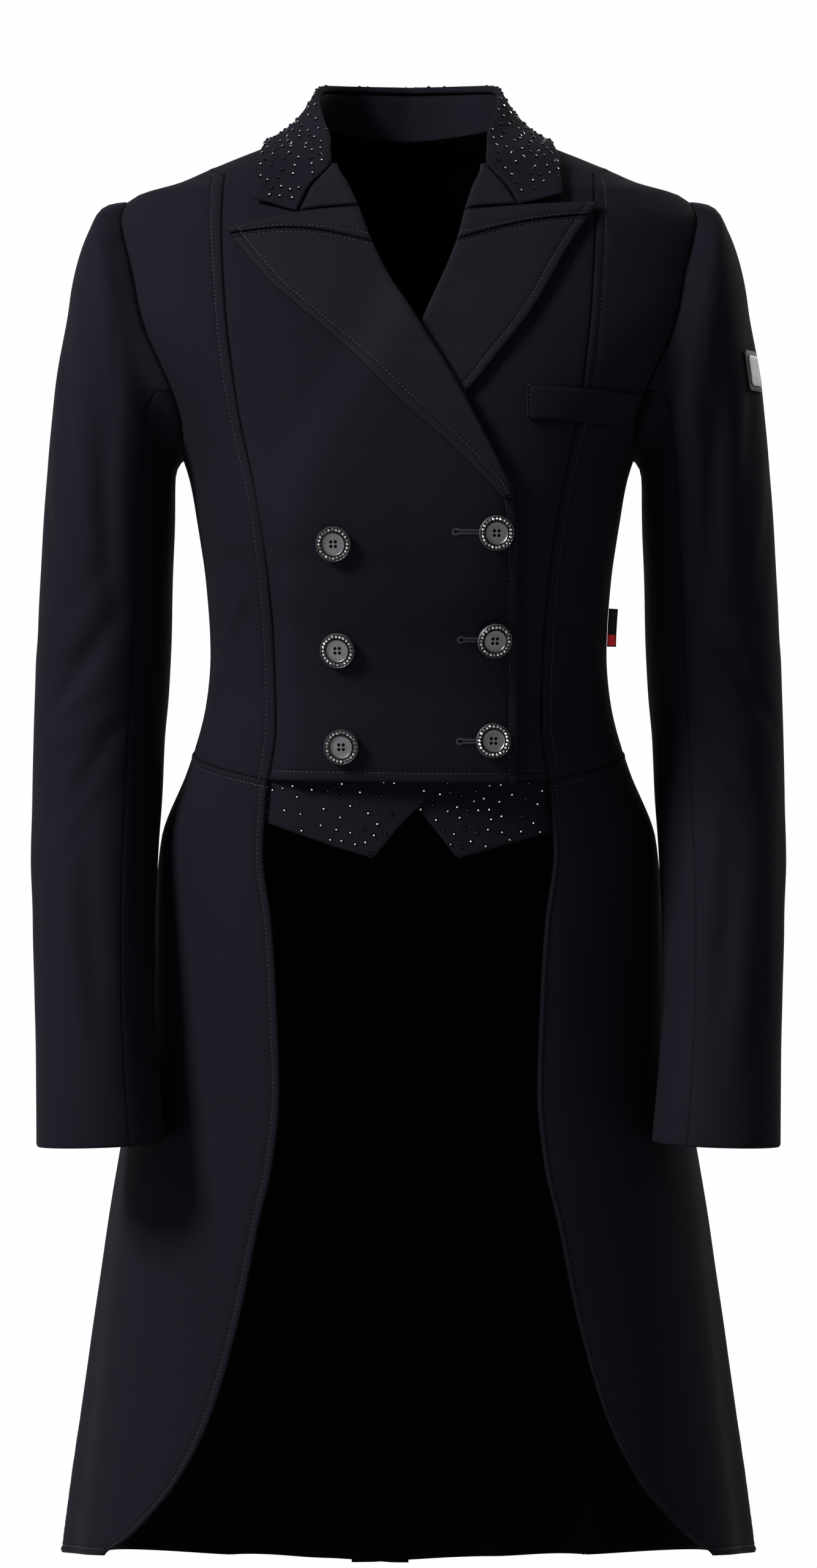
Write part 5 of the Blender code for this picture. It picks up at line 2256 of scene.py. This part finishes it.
@dataclass
class Buttons:
    """Six dished metal buttons with a ring of small stones, on the right front.

    Attributes:
        places: (across, drop) of each, by its node.
        wide, thick, rim, dish: sizes of a button.
        stone: width of a stone on its rim.
        hole, hole_circle: of its four holes.
        shank, shank_wide: of the thread that it stands on.
        stones: how many stand round the rim.
        keyhole: outline of a buttonhole's end, as (across, off) from its own end.
        holes: (drop, end) of each buttonhole.
    """

    places: tuple[tuple[str, float, float], ...] = (
        ("button_1_right", -48, 274), ("button_2_right", -45, 343),
        ("button_3_right", -43, 408), ("button_1_left", 56, 267),
        ("button_2_left", 54.5, 336), ("button_3_left", 54, 404))
    wide: float = 23.0
    thick: float = 3.6
    rim: float = 3.9
    stone: float = 2.45
    dish: float = 1.3
    hole: float = 2.3
    hole_circle: float = 4.3
    shank: float = 1.2
    shank_wide: float = 5.0
    stones: int = 24
    keyhole: tuple[Place, ...] = ((4.0, 0.95), (3.0, 1.2), (1.6, 1.9), (0.2, 1.6), (-0.6, 0.7))
    holes: tuple[Place, ...] = ((267.0, 29.5), (336.4, 32.5), (404.6, 32.0))

    def build(self) -> None:
        """All the buttons, the stones on their rims and the buttonholes beside them."""
        template, top = self.template(), self.shank + self.thick - 0.25
        radius = self.wide / 2 - self.rim / 2 - 0.05
        circle = [Vector((radius * math.cos(a), radius * math.sin(a), top)) * MM
                  for a in (math.tau * k / self.stones for k in range(self.stones))]
        rings = []
        for name, across, drop in self.places:
            turn = FORM.turn_at(across, drop)
            axis = FORM.outward(turn, drop)
            seat = FORM.point(turn, drop) + axis * (lap_lift(turn, drop) + GAP)
            place = axis.to_track_quat("Z", "Y").to_matrix().to_4x4()
            place.translation = seat * MM
            mesh = template.copy()
            mesh.transform(place)
            Workroom.declare(linked(name + "_metal", mesh), name, METAL.slot)
            rings.append(([place @ p / MM for p in circle], [axis] * self.stones))
            LOG.info("%s: at %s", name, tuple(round(c, 1) for c in seat))
        Sewing.rim_stones("rim_stones", rings, self.stone, 9)
        Sewing.stitches("buttonhole_stitches", [self.buttonhole(*h) for h in self.holes],
                        True, Pitch=0.5, Length=1.9, Thick=0.55, High=0.5)

    def template(self) -> bpy.types.Mesh:
        """One button on the Z axis: spun, then pierced by four holes; the holes' walls and the
        channel round its rim are painted dark as shade.

        Returns:
            Its mesh.
        """
        half, top = self.wide / 2, self.shank + self.thick
        inner, floor = half - self.rim, top - self.dish
        profile = ((0, floor + 0.35), (3.2, floor + 0.25), (inner - 1.5, floor),
                   (inner - 0.6, floor + 0.25), (inner - 0.1, top - 0.15),
                   (inner + 0.15, top), (inner + 0.45, top - 0.25),
                   (half - 0.5, top - 0.3), (half - 0.25, top - 0.05), (half, top - 0.45),
                   (half, self.shank + 0.9), (half - 0.5, self.shank + 0.3),
                   (half - 1.6, self.shank), (self.shank_wide / 2, self.shank),
                   (self.shank_wide / 2, 0), (0, 0))
        work, pins = bmesh.new(), bmesh.new()
        points = [work.verts.new((x * MM, 0, z * MM)) for x, z in profile]
        edges = [work.edges.new(pair) for pair in zip(points, points[1:])]
        bmesh.ops.spin(work, geom=points + edges, angle=math.tau, steps=48,
                       axis=(0, 0, 1), cent=(0, 0, 0))
        bmesh.ops.remove_doubles(work, verts=work.verts, dist=1e-6)
        bmesh.ops.recalc_face_normals(work, faces=work.faces)
        reach, wide = self.hole_circle / 2 / math.sqrt(2), self.hole / 2 * MM
        for x, y in product((-reach, reach), repeat=2):
            made = bmesh.ops.create_cone(pins, cap_ends=True, segments=10, radius1=wide,
                                         radius2=wide, depth=5 * MM)
            bmesh.ops.translate(pins, verts=made["verts"], vec=(x * MM, y * MM, (top + 0.2) * MM))
        carrier = linked("button_base", meshed("button", work))
        cutter = linked("button_pins", meshed("pins", pins))
        cut = carrier.modifiers.new("holes", "BOOLEAN")
        cut.operation, cut.object, cut.solver = "DIFFERENCE", cutter, "EXACT"
        mesh = applied(carrier)
        bpy.data.objects.remove(cutter)
        mesh.shade_smooth()
        mesh.set_sharp_from_angle(angle=math.radians(32))
        mesh.materials.clear()
        for finish in (METAL, PAINTED_PIT_SHADE):
            mesh.materials.append(finish.build())
        # painted shade: the holes' walls and the channel between the rim stones take the near-black
        # finish
        for face in mesh.polygons:
            x, y, z = face.center / MM
            painted_hole_shade = (self.shank + 0.2 < z < floor + 0.2
                   and math.hypot(abs(x) - reach, abs(y) - reach) < self.hole / 2 + 0.02)
            painted_channel_shade = inner < math.hypot(x, y) < half - 0.4 and z > top - 0.35
            face.material_index = int(painted_hole_shade or painted_channel_shade)
        return mesh

    def buttonhole(self, drop: float, end: float) -> Row:
        """One keyhole buttonhole, half hidden under a button on the wearer's left.

        Args:
            drop, end: where it is and how far across it ends.

        Returns:
            Its points and the directions outwards.
        """
        rim = [(end + x, off) for x, off in self.keyhole]
        path = [(46.0, 0.95), *rim]
        path = [(x, -off) for x, off in path] + path[::-1]
        places = [(FORM.turn_at(x, drop + off), drop + off) for x, off in path]
        normals = [FORM.outward(*place) for place in places]
        return [FORM.point(*place) + normal * (lap_lift(*place) + 0.05)
                for place, normal in zip(places, normals)], normals


@dataclass
class Badge:
    """The blank badge on the left sleeve: a soft frame round a bare plate."""

    sleeves: Sleeves
    drop: float = 155.0
    round_it: float = 30.0
    wide: float = 24.0
    tall: float = 27.0
    frame: float = 3.4
    arm_radius: float = 62.0
    thick: float = 1.2
    plate: float = 0.9
    corner: float = 2.4
    steps: int = 14

    def patch(self, wide: float, tall: float, lift: float, thickness: float) -> Shell:
        """A small upright patch with rounded corners on the sleeve.

        Args:
            wide, tall: its sizes.
            lift: how far it stands off the sleeve.
            thickness: of its wall.

        Returns:
            Its shell.
        """
        steps, corner = self.steps, self.corner
        half_turn = math.degrees(wide / 2 / self.arm_radius)
        made = Shell([], [], [], [], [], [tall * i / steps for i in range(steps + 1)])
        for i in range(steps + 1):
            down = mix(-tall / 2, tall / 2, i / steps)
            over = max(abs(down) - (tall / 2 - corner), 0.0)
            cut = corner - math.sqrt(max(corner ** 2 - over ** 2, 0.0))
            cells = []
            for j in range(steps + 1):
                share = mix(-1, 1, j / steps) * (1 - cut / (wide / 2))
                place = self.sleeves.place_at(self.round_it + share * half_turn, self.drop + down)
                normal, base = self.sleeves.outward(*place), self.sleeves.point(*place)
                sunk = 0.0 if min(i, steps - i, j, steps - j) else 0.3
                cells.append((base + normal * (lift + thickness - sunk),
                              base + normal * lift, normal, 0.0, wide * j / steps))
            for grid, row in zip((made.outer, made.inner, made.normals, made.shades,
                                  made.acrosses), zip(*cells)):
                grid.append(list(row))
        return made

    def build(self) -> None:
        """The frame, then the plate on it."""
        inset = 2 * self.frame
        for name, node, sizes, finish in (
                ("sleeve_badge_frame", "sleeve_badge",
                 (self.wide, self.tall, 2 * GAP, self.thick), TRIM),
                ("sleeve_badge_blank", "sleeve_badge_plate",
                 (self.wide - inset, self.tall - inset, 3 * GAP + self.thick, self.plate), PLATE)):
            wall = self.patch(*sizes).wall(name, finish, finish, sharp=40.0)
            Workroom.declare(wall, node, finish.slot)
            LOG.info("%s: %.1f by %.1f mm", name, *sizes[:2])


@dataclass
class Label:
    """The small woven flag in the left side seam."""

    room: Workroom
    drop: float = 314.0
    tall: float = 26.0
    wide: float = 6.2
    thick: float = 0.8

    @staticmethod
    def point(drop: float, out: float) -> Vector:
        """The place on the ribbon, that far down and that far out of the seam."""
        place = SIDE_SEAM.at("turn", drop), drop
        return FORM.point(*place) + FORM.outward(*place) * (GAP + out)

    def build(self) -> None:
        """The folded ribbon, standing out of the seam."""
        shell = Panel(lambda s, share: (self.drop + s, share * self.wide),
                      self.tall, FREE, FREE, SEWN, FREE, point=self.point,
                      outward=lambda a, b: facing(self.point, a, b, (1, 1)),
                      thickness=self.thick, step=2.0, relief=lambda a, b, _p: (
                          0.2 * math.sin(a * 0.5) * b / self.wide)).shell()
        self.room.piece("side_label", shell, RIBBON)


@dataclass
class Stitching:
    """The raised rows of topstitching, all in one tree."""

    room: Workroom
    pitch: float = 3.0
    length: float = 2.5
    thick: float = 0.62
    high: float = 0.3

    def build(self) -> None:
        """Sews every row that the pieces left."""
        Sewing.stitches("topstitching", self.room.rows, False, Pitch=self.pitch,
                        Length=self.length, Thick=self.thick, High=self.high)


@dataclass
class Studio:
    """The plain pale studio, its lights and the camera at the photograph's angle."""

    camera_y: float = -4.0
    camera_z: float = -0.4333
    lens: float = 135.0
    floor_z: float = -1.4
    floor_wide: float = 3.1
    key: float = 1000.0
    back: float = 90.0
    world: float = 1.0

    def build(self) -> None:
        """Floor, lights, world and camera."""
        self.floor()
        self.light("key", (-3.1, -1.9, 2.2), self.key, 1.1)
        self.light("back", (2.6, 2.6, 1.8), self.back, 1.6)
        scene = bpy.context.scene
        scene.world = bpy.data.worlds.new("studio")
        scene.world.use_nodes = True
        ground = scene.world.node_tree.nodes["Background"]
        ground.inputs["Color"].default_value = (0.99, 0.995, 1.0, 1.0)
        ground.inputs["Strength"].default_value = self.world
        data = bpy.data.cameras.new("view")
        data.lens, data.sensor_width = self.lens, 36.0
        scene.camera = linked("view", data)
        scene.camera.location = (0.0, self.camera_y, self.camera_z)
        scene.camera.rotation_euler = (math.radians(90), 0.0, 0.0)
        scene.view_settings.view_transform = "Standard"
        LOG.info("studio: camera %.3f m in front", -self.camera_y)

    def floor(self) -> None:
        """A wide round floor below the coat."""
        work = bmesh.new()
        bmesh.ops.create_circle(work, cap_ends=True, segments=96, radius=self.floor_wide)
        bmesh.ops.translate(work, verts=work.verts, vec=(0, 0, self.floor_z))
        mesh = meshed("floor", work)
        mesh.materials.append(FLOOR.build())
        linked("floor", mesh)

    @staticmethod
    def light(name: str, place: tuple[float, float, float], power: float, size: float) -> None:
        """One soft area light, aimed at the coat's chest.

        Args:
            name: the light's name.
            place: where it is.
            power: in watts.
            size: its width.
        """
        data = bpy.data.lights.new(name, "AREA")
        data.energy, data.size = power, size
        made = linked(name, data)
        made.location = place
        aim = Vector((0, 0, -0.35)) - Vector(place)
        made.rotation_euler = aim.to_track_quat("-Z", "Y").to_euler()


def main() -> None:
    """Builds every piece in order."""
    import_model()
    room = Workroom()
    sleeves = Sleeves(room)
    for part in (Studio(), Fronts(room), SideFronts(room), SideBacks(room), Backs(room),
                 Skirts(room), sleeves, Collar(room), Lapels(room), VestPoints(room),
                 Welt(room), Buttons(), Badge(sleeves), Label(room), Stitching(room)):
        part.build()
        LOG.info("%s built", type(part).__name__)
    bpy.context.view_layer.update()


if __name__ == "__main__":
    logging.basicConfig(level=logging.INFO, format="%(name)s: %(message)s")
    main()
